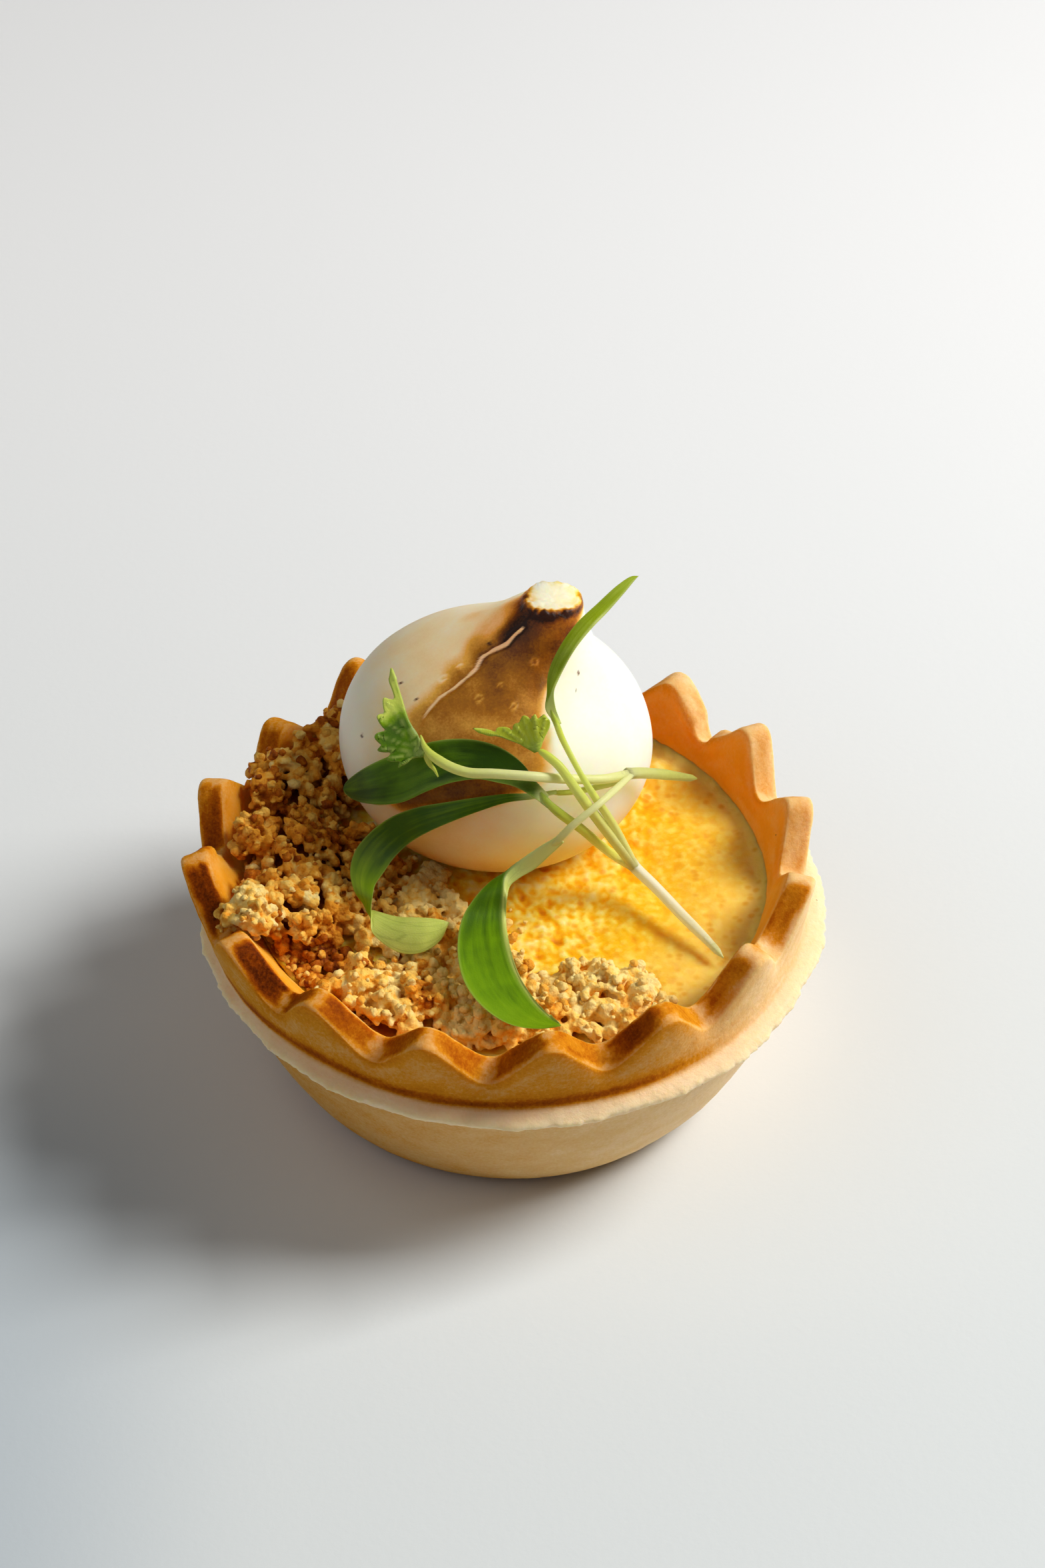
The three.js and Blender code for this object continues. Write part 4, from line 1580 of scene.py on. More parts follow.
    def _loose(self) -> list[Grain]:
        """Place the loose crumbs: on the heap, along the wall at the left, and a few on the custard.

        Returns:
            The crumbs.
        """
        crumbs = []
        for _ in range(self.loose_count):
            x, y = self.chance.uniform(-23, 13.5), self.chance.uniform(-21, 18)
            top = self._top_at(x, y)
            radius = mix(*self.loose_radii, self.chance.random() ** 1.4)
            if top is not None and self._room(top[0]) > radius + 0.4:
                middle = top[0] + top[1] * radius * 0.35
                crumbs.append(Grain(middle, radius, self._tone(middle) + self.chance.gauss(0, 0.2)))
        # The hollow along the case's wall at the left
        for _ in range(self.wall_tries):
            angle, away = math.radians(self.chance.uniform(-78, -34)), self.chance.uniform(19.4, 21.1)
            radius = mix(0.2, 0.45, self.chance.random())
            middle = around(angle, away, 17.35 + 0.3 * step_between(20.2, 21.4, away), -0.2)
            if self._room(middle) > 0.8 * radius:
                crumbs.append(Grain(middle, radius, 0.62 + self.chance.gauss(0, 0.15)))
        # Strays on the open custard, fewer the farther they are from the heap
        for _ in range(self.custard_tries):
            x, y = self.chance.uniform(-6, 15), self.chance.uniform(-20, -1)
            if math.hypot(x, y) > 19.6 or self._top_at(x, y) is not None:
                continue
            edge = self.heap.find_nearest(Vector((x, y, self.custard_height)))[3]
            if self.chance.random() > math.exp(-edge / 1.7):
                continue
            radius = mix(0.16, 0.44, self.chance.random() ** 2)
            middle = Vector((x, y, self.custard_height))
            if self._room(middle) > radius + 0.1:
                crumbs.append(Grain(middle, radius, self._tone(middle) - 0.1 + self.chance.gauss(0, 0.2)))
        return crumbs

    def _strew(self, crumbs: list[Grain], skin: Material) -> None:
        """Make the loose crumbs, one piece for each kind.

        Args:
            crumbs: the crumbs.
            skin: their material.
        """
        heaps = [bmesh.new() for _ in self.kinds]
        wanted = []
        for crumb in crumbs:
            number = next(i for i, kind in enumerate(self.kinds) if crumb.tone < kind.up_to)
            wanted.append((heaps[number], crumb))
        self._add_grains(wanted)
        for kind, heap in zip(self.kinds, heaps):
            tone = add_marks(heap, "tone")["tone"]
            for vertex in heap.verts:
                vertex[tone] = kind.tone + 0.2 * ripple(vertex.co, 0.8, 17)
            finish_piece(kind.name, heap, "biscuit_crumble", skin)


class SmoothLine:
    """A smooth curve through a few points."""

    def __init__(self, points: Sequence[Point]) -> None:
        """Keep the points.

        Args:
            points: the points that the curve passes through.
        """
        self.points = [Vector(point) for point in points]

    def at(self, share: float) -> Vector:
        """Find a point of the curve, where each stretch between two points counts alike.

        Args:
            share: the share of the way.

        Returns:
            The point.
        """
        last = len(self.points) - 1
        place = min(max(share, 0.0), 1.0) * last
        first = min(int(place), last - 1)
        start, end = self.points[first], self.points[first + 1]
        before = self.points[first - 1] if first else 2 * start - end
        after = self.points[first + 2] if first + 2 <= last else 2 * end - start
        return self._stretch((before, start, end, after), place - first)

    @staticmethod
    def _stretch(points: Sequence[Vector], share: float) -> Vector:
        """Find a point of one stretch.

        Args:
            points: the point before the stretch, its two ends and the point after it.
            share: the share of the way along it.

        Returns:
            The point.
        """
        before, start, end, after = points
        d0, d1, d2 = (max((b - a).length ** 0.5, 1e-3) for a, b in zip(points, points[1:]))
        leave = ((start - before) / d0 - (end - before) / (d0 + d1) + (end - start) / d1) * d1
        arrive = ((end - start) / d1 - (after - start) / (d1 + d2) + (after - end) / d2) * d1
        square, cube = share * share, share**3
        bend = (-3 * start + 3 * end - 2 * leave - arrive) * square
        bend = bend + (2 * start - 2 * end + leave + arrive) * cube
        return start + leave * share + bend

    def heading(self, share: float) -> Vector:
        """Return the direction of the curve."""
        return (self.at(min(share + 0.004, 1.0)) - self.at(max(share - 0.004, 0.0))).normalized()


def tube_grid(around_points: int, along_points: int) -> BMesh:
    """Make a grid to roll a leaf or stalk from, from -1 to 1 in X around and in Y along."""
    shape = bmesh.new()
    bmesh.ops.create_grid(shape, x_segments=around_points, y_segments=along_points, size=1.0)
    return shape


def close_roll(shape: BMesh) -> BMesh:
    """Join the seam of a rolled grid and close its ends.

    Args:
        shape: the rolled grid.

    Returns:
        The same shape.
    """
    bmesh.ops.remove_doubles(shape, verts=shape.verts, dist=WELD)
    bmesh.ops.holes_fill(shape, edges=[edge for edge in shape.edges if edge.is_boundary])
    bmesh.ops.recalc_face_normals(shape, faces=shape.faces)
    return shape


@dataclass(frozen=True)
class Stalk:
    """A round stalk: its line, and (share of the way, radius) pairs."""

    line: tuple[Point, ...]
    radii: tuple[Pair, ...]
    tones: Pair = (0.0, 1.0)
    around_points: int = 17
    along_points: int = 70

    def shape(self) -> BMesh:
        """Roll the stalk from a grid and close its ends.

        Returns:
            The stalk.
        """
        shape = tube_grid(self.around_points, self.along_points)
        tone = add_marks(shape, "along")["along"]
        curve = SmoothLine(self.line)
        frames = self._frames(curve)
        for vertex in shape.verts:
            share = (vertex.co.y + 1) / 2
            turn = (vertex.co.x + 1) * math.pi
            side, up = frames[round(share * (len(frames) - 1))]
            radius = along_pairs(self.radii, share)
            ribbed = radius * (1 + 0.05 * math.cos(5 * turn + 9 * share))
            vertex[tone] = mix(*self.tones, share)
            vertex.co = curve.at(share) + side * ribbed * math.cos(turn) + up * ribbed * math.sin(turn)
        return close_roll(shape)

    def _frames(self, curve: SmoothLine) -> list[tuple[Vector, Vector]]:
        """Find directions across the stalk that turn as little as they can.

        Args:
            curve: the stalk's line.

        Returns:
            Two directions for each point along it.
        """
        frames = []
        side = curve.heading(0).orthogonal().normalized()
        for i in range(self.along_points):
            heading = curve.heading(i / (self.along_points - 1))
            side = (side - heading * side.dot(heading)).normalized()
            frames.append((side, heading.cross(side)))
        return frames


@dataclass(frozen=True)
class SeedLeaf:
    """A seed leaf: a thin blade between two margins, given by rows of points across it from base to tip.

    A row holds the far margin, where there is one the crease, and the near margin. The last row is the tip.
    """

    rows: tuple[tuple[Point, ...], ...]
    fold: float = 0.0  # how pale the strip between the crease and the near margin is
    # shades: painted shade and painted light along the top
    shades: tuple[Pair, ...] = ((0.0, 0.0),)  # where along it the top is darker than elsewhere, or paler
    pale_base: float = 0.10
    hollow: float = 0.0
    thickness: float = 0.26
    top_side: float = -1.0
    crease_at: float = 0.7
    around_points: int = 45
    length_steps: int = 130

    def shape(self) -> BMesh:
        """Roll the blade from a grid: its top from margin to margin, and its underside back.

        Returns:
            The leaf.
        """
        shape = tube_grid(self.around_points, self.length_steps)
        layers = add_marks(shape, "along", "across", "under", "base", "edge", "shade")
        margins = [SmoothLine(column) for column in zip(*self.rows)]
        spans = [[line.at(i / self.length_steps) for line in margins] for i in range(self.length_steps + 1)]
        for vertex in shape.verts:
            share = (vertex.co.y + 1) / 2
            number = round(share * self.length_steps)
            turn = (vertex.co.x + 1) * math.pi
            across = 0.5 - 0.5 * math.cos(turn)
            above = math.sin(turn)
            stay = min(number, self.length_steps - 2)
            ahead, behind = (self._on(spans[i], across) for i in (stay + 1, max(stay - 1, 0)))
            right, left = (self._on(spans[stay], across + move) for move in (0.03, -0.03))
            facing = (right - left).cross(ahead - behind).normalized() * self.top_side
            width = (spans[number][-1] - spans[number][0]).length
            middle = 1 - (2 * across - 1) ** 2
            skin = 0.5 * self.thickness * (0.35 + 0.65 * middle) * math.copysign(abs(above) ** 0.5, above)
            skin *= min(1.0, width / 0.8 + 0.15) * step_between(1.0, 0.97, share)
            vertex[layers["along"]] = share
            vertex[layers["across"]] = 2 * across - 1
            below = step_between(0.05, -0.05, above)
            folded = self.fold * step_between(self.crease_at - 0.04, self.crease_at + 0.06, across)
            vertex[layers["under"]] = max(below, folded)
            # A painted highlight along the margins of the top
            vertex[layers["edge"]] = step_between(0.92, 0.99, abs(2 * across - 1)) * (1 - below)
            vertex[layers["base"]] = 0.9 * step_between(self.pale_base, 0.3 * self.pale_base, share)
            vertex[layers["shade"]] = along_pairs(self.shades, share)
            dip = self.hollow * width * middle
            vertex.co = self._on(spans[number], across) + facing * (skin - dip)
        return close_roll(shape)

    def _on(self, span: Sequence[Vector], across: float) -> Vector:
        """Find a point on the middle of the blade, its crease a little rounded.

        Args:
            span: the row's points across the blade.
            across: the share of the way across it.

        Returns:
            The point.
        """
        place = min(max(across, 0.0), 1.0)
        if len(span) == 2:
            return span[0].lerp(span[1], place)
        soft = 0.6 * place * (1 - place)
        total = Vector((0, 0, 0))
        for move in (-1.0, -0.5, 0.0, 0.5, 1.0):
            spot = place + move * soft
            if spot < self.crease_at:
                total += span[0].lerp(span[1], spot / self.crease_at)
            else:
                total += span[1].lerp(span[2], (spot - self.crease_at) / (1 - self.crease_at))
        return total / 5


@dataclass(frozen=True)
class LobedLeaf:
    """A small true leaf with toothed lobes, cut from an outline and folded a little."""

    outline: tuple[Pair, ...]
    base: Point
    along: Point
    sideways: Point
    ribs: tuple[Pair, ...]
    fold: float
    # The leaf's upper part is painted paler as lit, its lower part darker as shaded
    light_from: float = 9.0  # how far along it its upper, paler part starts
    thickness: float = 0.22
    softness: float = 0.25  # how far its corners are cut back
    longest_edge: float = 0.22
    cuts: int = 3
    rib_widths: Pair = (0.11, 0.05)

    def shape(self) -> BMesh:
        """Cut the leaf, give it its ribs and its thickness.

        Returns:
            The leaf.
        """
        shape = bmesh.new()
        layers = add_marks(shape, "along", "across", "rib", "edge", "shade")
        corners = [shape.verts.new((side, up, 0)) for up, side in self._softened()]
        edges = [shape.edges.new((a, b)) for a, b in zip(corners, corners[1:] + corners[:1])]
        bmesh.ops.triangle_fill(shape, edges=edges, use_beauty=True)
        for _ in range(self.cuts):
            long = [edge for edge in shape.edges if edge.calc_length() > self.longest_edge]
            bmesh.ops.subdivide_edges(shape, edges=long, cuts=1, use_grid_fill=True)
            bmesh.ops.triangulate(shape, faces=shape.faces)
        for vertex in shape.verts:
            if vertex.is_boundary:
                vertex[layers["edge"]] = 1.0
        self._bend(shape, layers)
        bmesh.ops.recalc_face_normals(shape, faces=shape.faces)
        bmesh.ops.solidify(shape, geom=shape.faces[:], thickness=self.thickness)
        bmesh.ops.recalc_face_normals(shape, faces=shape.faces)
        return shape

    def _softened(self) -> list[Pair]:
        """Round the outline's corners a little.

        Returns:
            The rounded outline.
        """
        soft = []
        for i, (up, side) in enumerate(self.outline):
            for next_up, next_side in (self.outline[i - 1], self.outline[(i + 1) % len(self.outline)]):
                soft.append((mix(up, next_up, self.softness), mix(side, next_side, self.softness)))
        return soft

    def _bend(self, shape: BMesh, layers: dict) -> None:
        """Sink the ribs, fold the leaf, and move it to its place.

        Args:
            shape: the flat leaf.
            layers: its layers by name.
        """
        up = Vector(self.along).normalized()
        facing = Vector(self.sideways).cross(up).normalized()
        side = up.cross(facing)
        for vertex in shape.verts:
            across, along = vertex.co.x, vertex.co.y
            rib = max(self._rib(along, across, end) for end in self.ribs)
            rise = self.fold * abs(across) - 0.05 * across * across + 0.12 * math.sin(1.7 * along + across)
            vertex[layers["along"]] = along / 6
            vertex[layers["across"]] = across / 4
            vertex[layers["rib"]] = rib
            # Painted light on the upper part, painted shade below it
            upper = step_between(self.light_from - 1, self.light_from + 1, along)
            vertex[layers["shade"]] = 0.4 - 1.1 * upper
            vertex.co = Vector(self.base) + up * along + side * across + facing * (rise - 0.06 * rib)

    def _rib(self, along: float, across: float, end: Pair) -> float:
        """Find how near a rib is, which runs from the leaf's base to an end.

        Args:
            along: the place along the leaf.
            across: the place across it.
            end: the rib's end.

        Returns:
            1 on the rib and less beside it.
        """
        length = math.hypot(*end)
        share = min(max((along * end[0] + across * end[1]) / length**2, 0.0), 1.0)
        away = math.hypot(along - share * end[0], across - share * end[1])
        return bell(away, 0.0, mix(*self.rib_widths, share))


def joined(shapes: Sequence[BMesh]) -> BMesh:
    """Put several shapes with the same layers into one.

    Args:
        shapes: the shapes, used up here.

    Returns:
        The whole.
    """
    whole = bmesh.new()
    for shape in shapes:
        part = meshed("part", shape)
        whole.from_mesh(part)
        bpy.data.meshes.remove(part)
    return whole


# The radius of both stems, by the share of the way from the cut end
STEM_RADII = ((0.0, 0.06), (0.06, 0.30), (0.3, 0.44), (0.75, 0.48), (0.93, 0.52), (1.0, 0.46))


@dataclass(frozen=True)
class Leaf:
    """One of a sprig's leaves: its name, its form and its skin."""

    name: str
    form: Union[SeedLeaf, LobedLeaf]
    skin: LeafSkin


@dataclass
class HerbSprig:
    """A herb sprig, with its stalks in one piece and its leaves in one piece each."""

    side: str
    node: Point  # where its stalks meet
    stalks: tuple[Stalk, ...]
    stalk_skin: StalkSkin
    leaves: tuple[Leaf, ...]

    def build(self) -> None:
        """Build the stalks and the leaves."""
        parts = [("stalks", joined([stalk.shape() for stalk in self.stalks]), self.stalk_skin)]
        parts += [(leaf.name, leaf.form.shape(), leaf.skin) for leaf in self.leaves]
        for name, shape, skin in parts:
            solid = f"herb_sprig_{self.side}"
            finish_piece(f"sprig_{self.side}_{name}", shape, solid, skin.material())


@dataclass
class RightSprig(HerbSprig):
    """The sprig whose pale cut end lies on the custard: three stalks go up over the meringue."""

    side: str = "right"
    node: Point = (10.1, -1.4, 20.2)
    stalks: tuple[Stalk, ...] = (
        Stalk(((17.2, -10, 18.1), (15.7, -8.0, 18.5), (13.8, -5.6, 18.9), (11.9, -3.4, 19.6), node,
               (9.6, -1.4, 21.2)),
              STEM_RADII, (0.0, 0.3)),
        Stalk((node, (8.3, -1.7, 25.0), (6.7, -2.9, 29.3), (5.5, -2.2, 31.3), (4.1, -0.1, 33.0),
               (3.7, 1.4, 33.0), (3.1, 2.4, 34.3)),
              ((0.0, 0.42), (0.2, 0.36), (0.5, 0.24), (0.8, 0.27), (0.92, 0.24), (1.0, 0.06)), (0.42, 0.9)),
        Stalk((node, (7.6, -2.2, 25.1), (6.0, -3.4, 29.0), (4.9, -3.2, 30.9), (3.8, -2.5, 32.3),
               (2.8, -1.9, 32.9), (2.1, -1.4, 33.1)),
              ((0.0, 0.42), (0.2, 0.44), (0.5, 0.40), (0.85, 0.34), (0.95, 0.25), (1.0, 0.08)), (0.42, 0.8)),
        Stalk((node, (8.6, -0.6, 20.6), (7.2, -1.3, 22.6), (5.5, -3.2, 26.2), (3.9, -3.9, 28.4),
               (2.9, -3.8, 29.5), (2.3, -3.3, 30.2)),
              ((0.0, 0.42), (0.3, 0.38), (0.7, 0.38), (0.9, 0.28), (1.0, 0.06)), (0.45, 1.0)),
    )
    stalk_skin: StalkSkin = StalkSkin("stalk_right", (
        (0.0, "#C6CE8A"), (0.06, "#F2F0D0"), (0.2, "#FFFEEC"), (0.28, "#F6F6D2"), (0.32, "#B4B27C"),
        (0.38, "#F0F2B0"), (0.55, "#E2EA78"), (0.75, "#D2E048"), (1.0, "#A0BC38"),
    ))
    narrow: SeedLeaf = SeedLeaf((
        ((3.6, 1.6, 33.1), (3.5, 1.6, 33.2), (4.0, 1.7, 33.2)),
        ((2.7, 2.4, 34.1), (2.8, 2.5, 34.2), (3.5, 2.3, 34.5)),
        ((2.8, 3.2, 35.1), (3.2, 3.1, 35.3), (3.4, 3.1, 35.5)),
        ((2.9, 4.3, 36.3), (4.0, 4.1, 36.7), (4.0, 4.0, 36.6)),
        ((3.7, 5.3, 38.0), (5.0, 4.9, 38.4), (5.1, 4.9, 38.4)),
        ((5.1, 6.9, 39.3), (6.45, 6.4, 39.6), (6.5, 6.3, 39.5)),
        ((6.9, 8.4, 40.3), (7.65, 7.7, 40.1), (7.75, 7.7, 40.0)),
        ((8.6, 9.6, 41.3), (9.0, 9.0, 40.9), (9.1, 9.0, 40.9)),
        ((9.7, 10.2, 41.7), (9.8, 9.85, 41.5), (9.9, 9.8, 41.5)),
        ((10.3, 10.2, 41.75),) * 3,
    ), fold=1.0, shades=((0.0, 0.0), (0.5, -0.2), (1.0, -0.5)), pale_base=0.22, top_side=1.0)
    broad: SeedLeaf = SeedLeaf((
        ((2.9, -3.4, 29.6), (2.9, -3.3, 29.9), (2.9, -4.2, 29.2)),
        ((1.9, -2.5, 30.4), (1.9, -2.6, 30.7), (1.6, -3.6, 30.0)),
        ((1.2, -1.9, 31.5), (0.9, -2.2, 31.3), (0.2, -3.1, 30.6)),
        ((0.2, -1.3, 32.3), (-0.6, -2.3, 31.0), (-1.2, -2.8, 30.8)),
        ((-1.4, -0.7, 33.0), (-2.5, -2.3, 31.0), (-2.8, -2.5, 30.9)),
        ((-3.7, -0.3, 33.3), (-4.8, -2.2, 30.7), (-5.0, -2.5, 30.5)),
        ((-6.3, 0.0, 32.8), (-6.9, -2.2, 29.8), (-6.9, -2.5, 29.6)),
        ((-8.8, 0.3, 31.5), (-9.0, -2.1, 28.3), (-9.0, -2.3, 28.2)),
        ((-11.1, 1.0, 29.7), (-11.0, -1.1, 27.0), (-11.0, -1.2, 27.0)),
        ((-12.9, 2.1, 27.4), (-12.7, 0.7, 25.7), (-12.7, 0.7, 25.6)),
        ((-13.8, 2.7, 25.8), (-13.7, 2.2, 25.1), (-13.7, 2.1, 25.1)),
        ((-14.0, 2.6, 25.3),) * 3,
    ), fold=0.25, shades=((0.1, 0.2), (0.25, 0.8), (0.4, 0.5), (0.6, -0.1), (0.8, 0.3)), hollow=0.05)
    lobed: LobedLeaf = LobedLeaf(
        ((-0.2, 0.1), (0.2, 0.7), (0.6, 1.4), (1.0, 2.2), (1.4, 3.0), (1.6, 3.8), (1.8, 4.4), (2.1, 4.9),
         (2.4, 5.1), (2.3, 4.6), (2.1, 3.9), (1.8, 3.3), (2.1, 3.2), (2.2, 2.9), (2.1, 2.2), (1.8, 1.9),
         (2.2, 1.8), (2.4, 1.6), (2.4, 1.3), (2.7, 1.1), (3.0, 0.9), (2.9, 0.6), (2.6, 0.3), (2.9, 0.1),
         (3.1, -0.1), (2.6, -0.2), (2.8, -0.5), (3.0, -0.8), (2.6, -1.0), (2.4, -1.2), (1.9, -1.1),
         (1.5, -0.9), (1.0, -0.6), (0.6, -0.3), (0.2, -0.2)),
        (2.1, -1.4, 33.0), (-0.1, 0.5, 0.85), (-1, 0.05, -0.1),
        ((2.1, 4.6), (2.0, 2.6), (2.2, 1.6), (2.7, 0.9), (2.8, 0.0), (2.7, -0.8)),
        fold=0.18, light_from=0.5,
    )
    leaves: tuple[Leaf, ...] = (
        Leaf("narrow_leaf", narrow, LeafSkin("leaf_mid", "#A0B40C", "#6C8A06", "#D3DC78")),
        Leaf("broad_leaf", broad, LeafSkin("leaf_dark", "#64900A", "#2A4C02", "#98B048", "#8FB02C")),
        Leaf("lobed_leaf", lobed, LeafSkin("leaf_bright", "#B6CC10", "#86A806", "#D3E270", "#D8E23C")),
    )


@dataclass
class LeftSprig(HerbSprig):
    """The sprig whose cut end hangs free at the right: three stalks run to the left and down."""

    side: str = "left"
    node: Point = (9.9, 1.4, 28.1)
    stalks: tuple[Stalk, ...] = (
        Stalk(((15.4, 6.2, 23.2), (12.5, 3.9, 25.7), node, (9.3, 0.9, 28.4)), STEM_RADII, (0.0, 0.3)),
        Stalk((node, (7.4, -0.9, 29.5), (4.9, -1.8, 30.3), (3.3, -2.6, 31.1), (1.7, -3.2, 31.8),
               (-1.5, -3.3, 32.2), (-3.7, -3.1, 32.2), (-5.6, -2.4, 32.6), (-7.0, -1.3, 33.15),
               (-7.4, -0.5, 33.9)),
              ((0.0, 0.40), (0.5, 0.40), (0.8, 0.42), (0.9, 0.28), (1.0, 0.06)), (0.35, 0.8)),
        Stalk((node, (8.2, -2.4, 29.5), (6.8, -4.4, 29.7), (4.9, -5.5, 28.6), (3.9, -5.7, 27.4),
               (3.0, -5.6, 26.3)),
              ((0.0, 0.28), (0.45, 0.29), (0.75, 0.34), (0.9, 0.26), (1.0, 0.06)), (0.42, 0.62)),
        Stalk((node, (8.6, 0.5, 28.0), (7.1, -0.6, 28.4), (4.9, -1.8, 28.9), (3.0, -2.4, 29.3)),
              ((0.0, 0.30), (0.6, 0.26), (0.9, 0.22), (1.0, 0.06)), (0.6, 0.8)),
        Stalk(((-7.0, -1.5, 32.9), (-6.7, -1.9, 32.1), (-6.3, -2.0, 31.5), (-6.0, -2.2, 30.9)),
              ((0.0, 0.3), (0.4, 0.2), (1.0, 0.06)), (0.7, 0.85)),
    )
    stalk_skin: StalkSkin = StalkSkin("stalk_left", (
        (0.0, "#9AA043"), (0.1, "#C3CB64"), (0.22, "#DDE098"), (0.30, "#A09A78"), (0.38, "#ECF0A8"),
        (0.55, "#F2F6B8"), (0.75, "#D6E254"), (1.0, "#AEC63C"),
    ))
    hanging: SeedLeaf = SeedLeaf((
        ((4.0, -5.6, 27.2), (3.7, -5.7, 27.7), (4.2, -5.8, 27.0)),
        ((2.6, -5.3, 25.7), (2.1, -5.6, 26.3), (3.1, -5.9, 25.7)),
        ((1.3, -5.3, 24.5), (0.9, -5.7, 25.3), (1.8, -6.1, 24.3)),
        ((0.0, -5.6, 23.8), (-0.1, -6.0, 24.5), (0.7, -6.5, 23.8)),
        ((-1.3, -6.5, 23.8), (-0.6, -6.6, 24.2), (-0.1, -7.1, 23.5)),
        ((-2.7, -8.0, 23.5), (-0.7, -8.0, 23.8), (-0.4, -8.4, 23.4)),
        ((-4.0, -9.8, 22.5), (-0.7, -9.3, 22.5), (-0.5, -9.6, 22.2)),
        ((-4.4, -13.3, 22.1), (-0.4, -12.5, 22.2), (-0.2, -12.7, 22.1)),
        ((-3.8, -16.6, 21.7), (0.5, -15.7, 21.8), (0.6, -15.8, 21.7)),
        ((-2.3, -19.0, 21.3), (1.7, -18.1, 21.4), (1.8, -18.2, 21.4)),
        ((-0.2, -20.5, 20.9), (2.8, -19.6, 21.2), (2.9, -19.7, 21.2)),
        ((2.0, -21.0, 20.9), (3.6, -20.4, 21.1), (3.6, -20.5, 21.1)),
        ((3.9, -20.9, 21.1),) * 3,
    ), fold=1.0, shades=((0.35, 0.4), (0.5, 0.3), (0.68, -0.1), (0.85, -0.3)), pale_base=0.36, hollow=0.06)
    curled: SeedLeaf = SeedLeaf((
        ((3.6, -2.2, 29.5), (3.6, -2.5, 29.3)), ((1.7, -2.5, 29.4), (1.7, -2.8, 29.0)),
        ((-0.5, -2.6, 29.4), (-0.4, -3.1, 28.9)), ((-2.9, -2.7, 29.1), (-2.7, -3.4, 28.2)),
        ((-5.3, -2.6, 28.5), (-5.0, -3.7, 27.3)), ((-7.6, -2.3, 27.7), (-7.0, -3.7, 26.1)),
        ((-9.8, -1.9, 26.3), (-8.5, -3.4, 24.6)), ((-11.6, -1.9, 24.6), (-9.7, -3.8, 23.4)),
        ((-12.9, -2.7, 23.2), (-10.5, -4.6, 22.6)), ((-13.3, -4.0, 22.2), (-11.2, -5.5, 22.0)),
        ((-12.9, -5.6, 21.3), (-11.4, -6.6, 21.7)), ((-12.2, -6.4, 20.7), (-11.5, -7.1, 21.3)),
        ((-11.8, -7.1, 20.3), (-11.5, -8.1, 21.0)), ((-11.5, -6.7, 20.3), (-11.5, -8.9, 20.7)),
        ((-10.9, -7.3, 20.7), (-11.4, -9.4, 20.4)), ((-9.3, -8.3, 21.1), (-10.5, -10.3, 20.0)),
        ((-7.9, -8.8, 21.5), (-9.1, -11.1, 19.7)), ((-6.7, -9.0, 21.6), (-7.4, -11.3, 19.9)),
        ((-5.7, -9.1, 21.5), (-5.9, -10.5, 20.4)),
        ((-5.1, -9.2, 21.3),) * 2,
    ), shades=((0.15, 0.2), (0.33, 0.4), (0.5, -0.3), (1.0, -0.2)), hollow=0.05)
    lobed: LobedLeaf = LobedLeaf(
        ((-0.4, 0.2), (1.3, 0.1), (2.6, 0.4), (3.8, 0.4), (4.9, 0.3), (6.1, 0.2), (7.0, 0.1), (7.5, 0.2),
         (6.9, 0.5), (6.5, 0.8), (5.7, 0.8), (5.0, 0.9), (5.1, 1.3), (5.4, 1.6), (5.3, 1.8), (4.8, 2.0),
         (4.2, 2.1), (4.3, 2.5), (4.2, 2.8), (3.7, 2.8), (3.3, 2.7), (2.8, 2.5), (2.9, 3.0), (2.9, 3.4),
         (2.6, 3.6), (2.1, 3.4), (1.8, 3.2), (1.6, 3.6), (1.5, 3.7), (1.2, 3.3), (1.0, 2.7), (0.7, 3.1),
         (0.5, 3.3), (0.2, 2.8), (0.1, 2.3), (-0.2, 2.6), (-0.4, 2.7), (-0.3, 2.3), (-0.2, 1.7),
         (-0.1, 1.2), (-0.2, 0.8)),
        (-6.9, -1.5, 33.0), (-0.36, 0.72, 0.6), (-0.93, 0.05, -0.12),
        ((7.0, 0.3), (5.0, 1.6), (3.9, 2.5), (2.6, 3.2), (1.5, 3.3), (0.6, 3.0), (-0.2, 2.4)),
        fold=0.12, light_from=3.6,
    )
    leaves: tuple[Leaf, ...] = (
        Leaf("hanging_leaf", hanging, LeafSkin("leaf_hanging", "#74A002", "#446A00", "#D6DE74", "#92BC10")),
        Leaf("curled_leaf", curled, LeafSkin("leaf_curled", "#749A02", "#386000", "#E6F274", "#A2C41C")),
        Leaf("lobed_leaf", lobed, LeafSkin("leaf_fresh", "#8CB406", "#507A04", "#D0E068", "#ECFA70")),
    )


@dataclass(frozen=True)
class SoftLight:
    """A square soft light that looks at the tartlet."""

    name: str
    turn: float  # from behind towards +X, in degrees
    height: float  # above the floor, in degrees
    distance: float
    size: float
    power: float
    colour: tuple[float, float, float]

    def hang(self) -> None:
        """Hang the light."""
        light = bpy.data.lights.new(self.name, "AREA")
        light.shape = "SQUARE"
        light.size = self.size * MM
        light.energy = self.power
        light.color = self.colour
        holder = placed(self.name, light)
        turn, rise = math.radians(self.turn), math.radians(self.height)
        way = Vector((math.sin(turn) * math.cos(rise), math.cos(turn) * math.cos(rise), math.sin(rise)))
        holder.location = way * self.distance * MM
        holder.rotation_euler = way.to_track_quat("Z", "Y").to_euler()


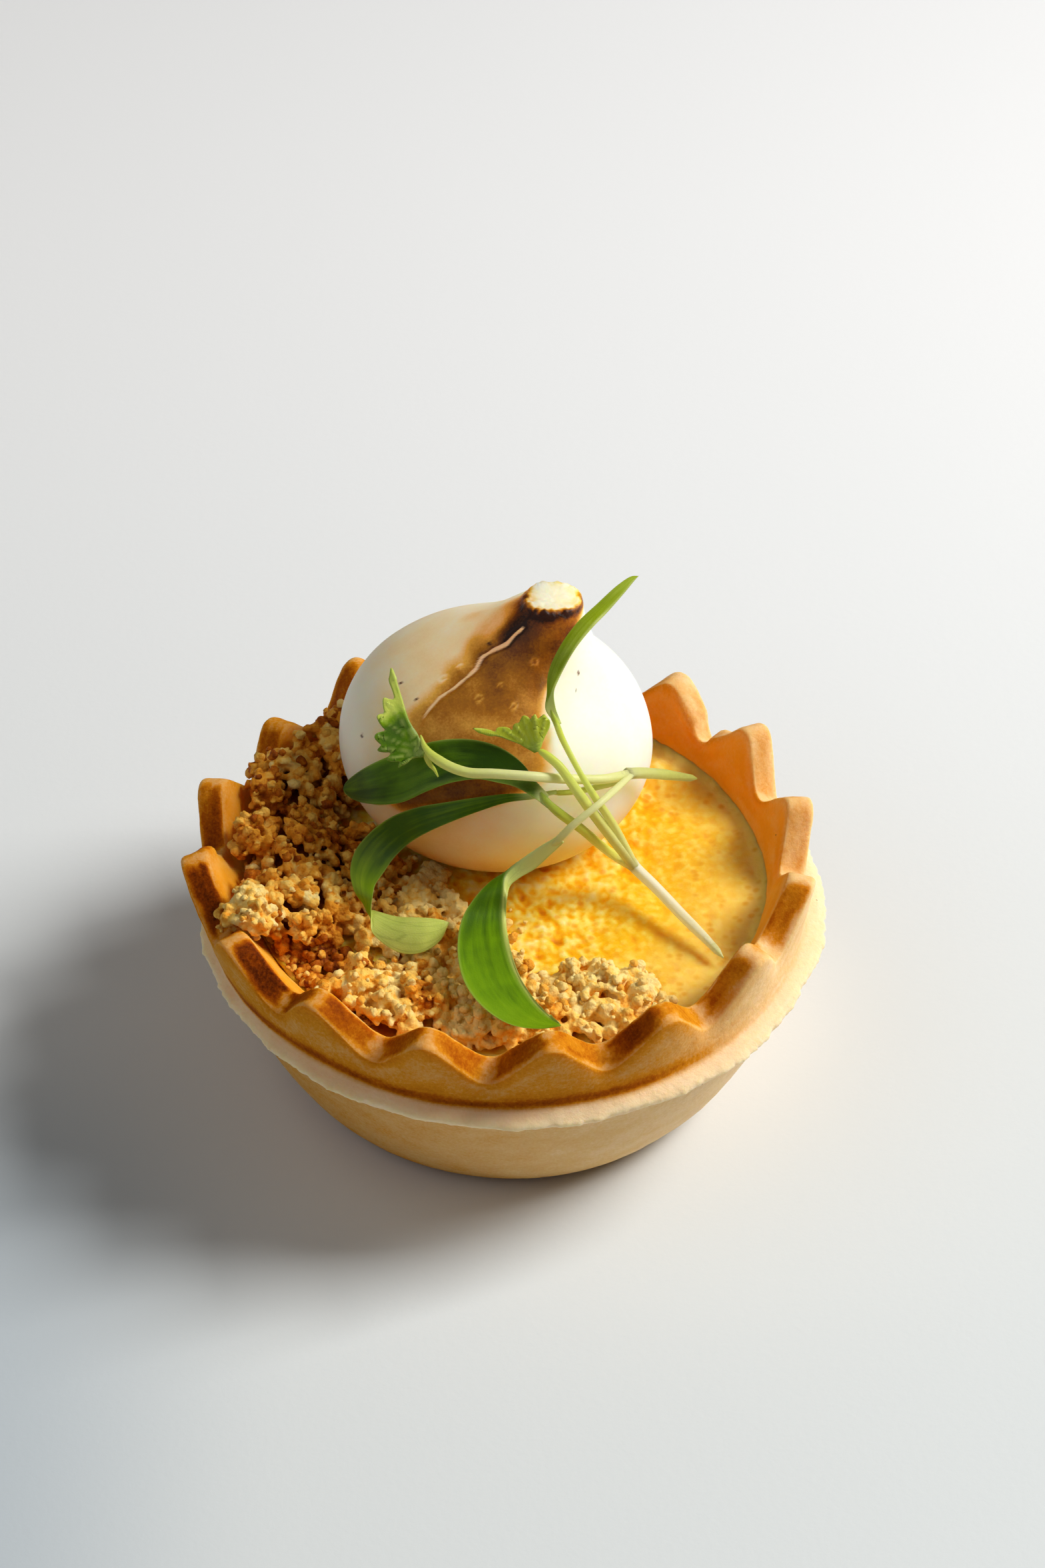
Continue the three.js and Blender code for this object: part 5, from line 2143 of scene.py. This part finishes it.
@dataclass
class Studio:
    """A plain pale floor, a soft light from the right, a weak one from the front left, and the camera."""

    camera_place: Point = (0.83, -264.93, 265.02)
    camera_pitch: float = 48.2
    lens: float = 99.87
    sensor: float = 36.0
    nearest_seen: float = 10.0
    lights: tuple[SoftLight, ...] = (
        SoftLight("window", 79.0, 44.0, 650.0, 260.0, 5.1, (1.0, 0.975, 0.94)),
        SoftLight("reflector", -115.0, 48.0, 430.0, 380.0, 0.39, (1.0, 0.97, 0.92)),
    )
    sky: str = "#E6E8EB"
    sky_strength: float = 0.07
    # Painted shade on the board: darker towards the front and in the front left corner, where less window
    # light falls
    board_front_shade: str = "#DCE2E4"
    board_back: str = "#F2F4F6"
    board_corner_shade: str = "#BFC9D0"
    board_half: float = 1600.0
    board_cuts: int = 8
    board_grain: float = 0.7
    board_depth: float = 0.015

    def build(self) -> None:
        """Set the studio up."""
        self._floor()
        for light in self.lights:
            light.hang()
        self._sky()
        self._camera()
        bpy.context.scene.view_settings.view_transform = "Standard"

    def _floor(self) -> None:
        """Lay a matt off-white board, with painted shade: a little darker in front and in its front left
        corner.
        """
        bench = FinishBench("matt_board")
        place = bench.place()
        grain = bench.clouds(place, self.board_grain, 3.0)
        across = bench.node("ShaderNodeSeparateXYZ", {}, {0: place}, "X")
        along = bench.node("ShaderNodeSeparateXYZ", {}, {0: place}, "Y")
        colour = bench.blend(along.step(-50.0, 140.0), self.board_front_shade, self.board_back)
        corner = across.step(-16.0, -44.0) * along.step(4.0, -22.0)
        colour = bench.blend(corner, colour, self.board_corner_shade)
        bump = bench.relief(grain, self.board_depth)
        shader = bench.surface(colour, 0.62, bump, 0.3, Scatter())
        shape = bmesh.new()
        half = self.board_half * MM
        bmesh.ops.create_grid(shape, x_segments=self.board_cuts, y_segments=self.board_cuts, size=half)
        mesh = meshed("floor", shape)
        mesh.materials.append(bench.done(shader))
        floor = placed("floor", mesh)

    def _sky(self) -> None:
        """Fill the shadows with an even light."""
        world = bpy.data.worlds.new("room")
        world.use_nodes = True
        background = world.node_tree.nodes["Background"]
        background.inputs["Color"].default_value = paint(self.sky)
        background.inputs["Strength"].default_value = self.sky_strength
        bpy.context.scene.world = world

    def _camera(self) -> None:
        """Set the camera up as the photograph was taken."""
        camera = bpy.data.cameras.new("camera")
        camera.lens = self.lens
        camera.sensor_width = self.sensor
        camera.clip_start = self.nearest_seen * MM
        holder = placed("camera", camera)
        holder.location = Vector(self.camera_place) * MM
        holder.rotation_euler = (math.radians(self.camera_pitch), 0, 0)
        bpy.context.scene.camera = holder


def main() -> None:
    """Build the studio and the tartlet, piece by piece."""
    logging.basicConfig(level=logging.INFO, format="%(name)s: %(message)s")
    for part in (Studio, PastryCase, LemonCustard, MeringueKiss, BiscuitCrumble, RightSprig, LeftSprig):
        part().build()


if __name__ == "__main__":
    main()
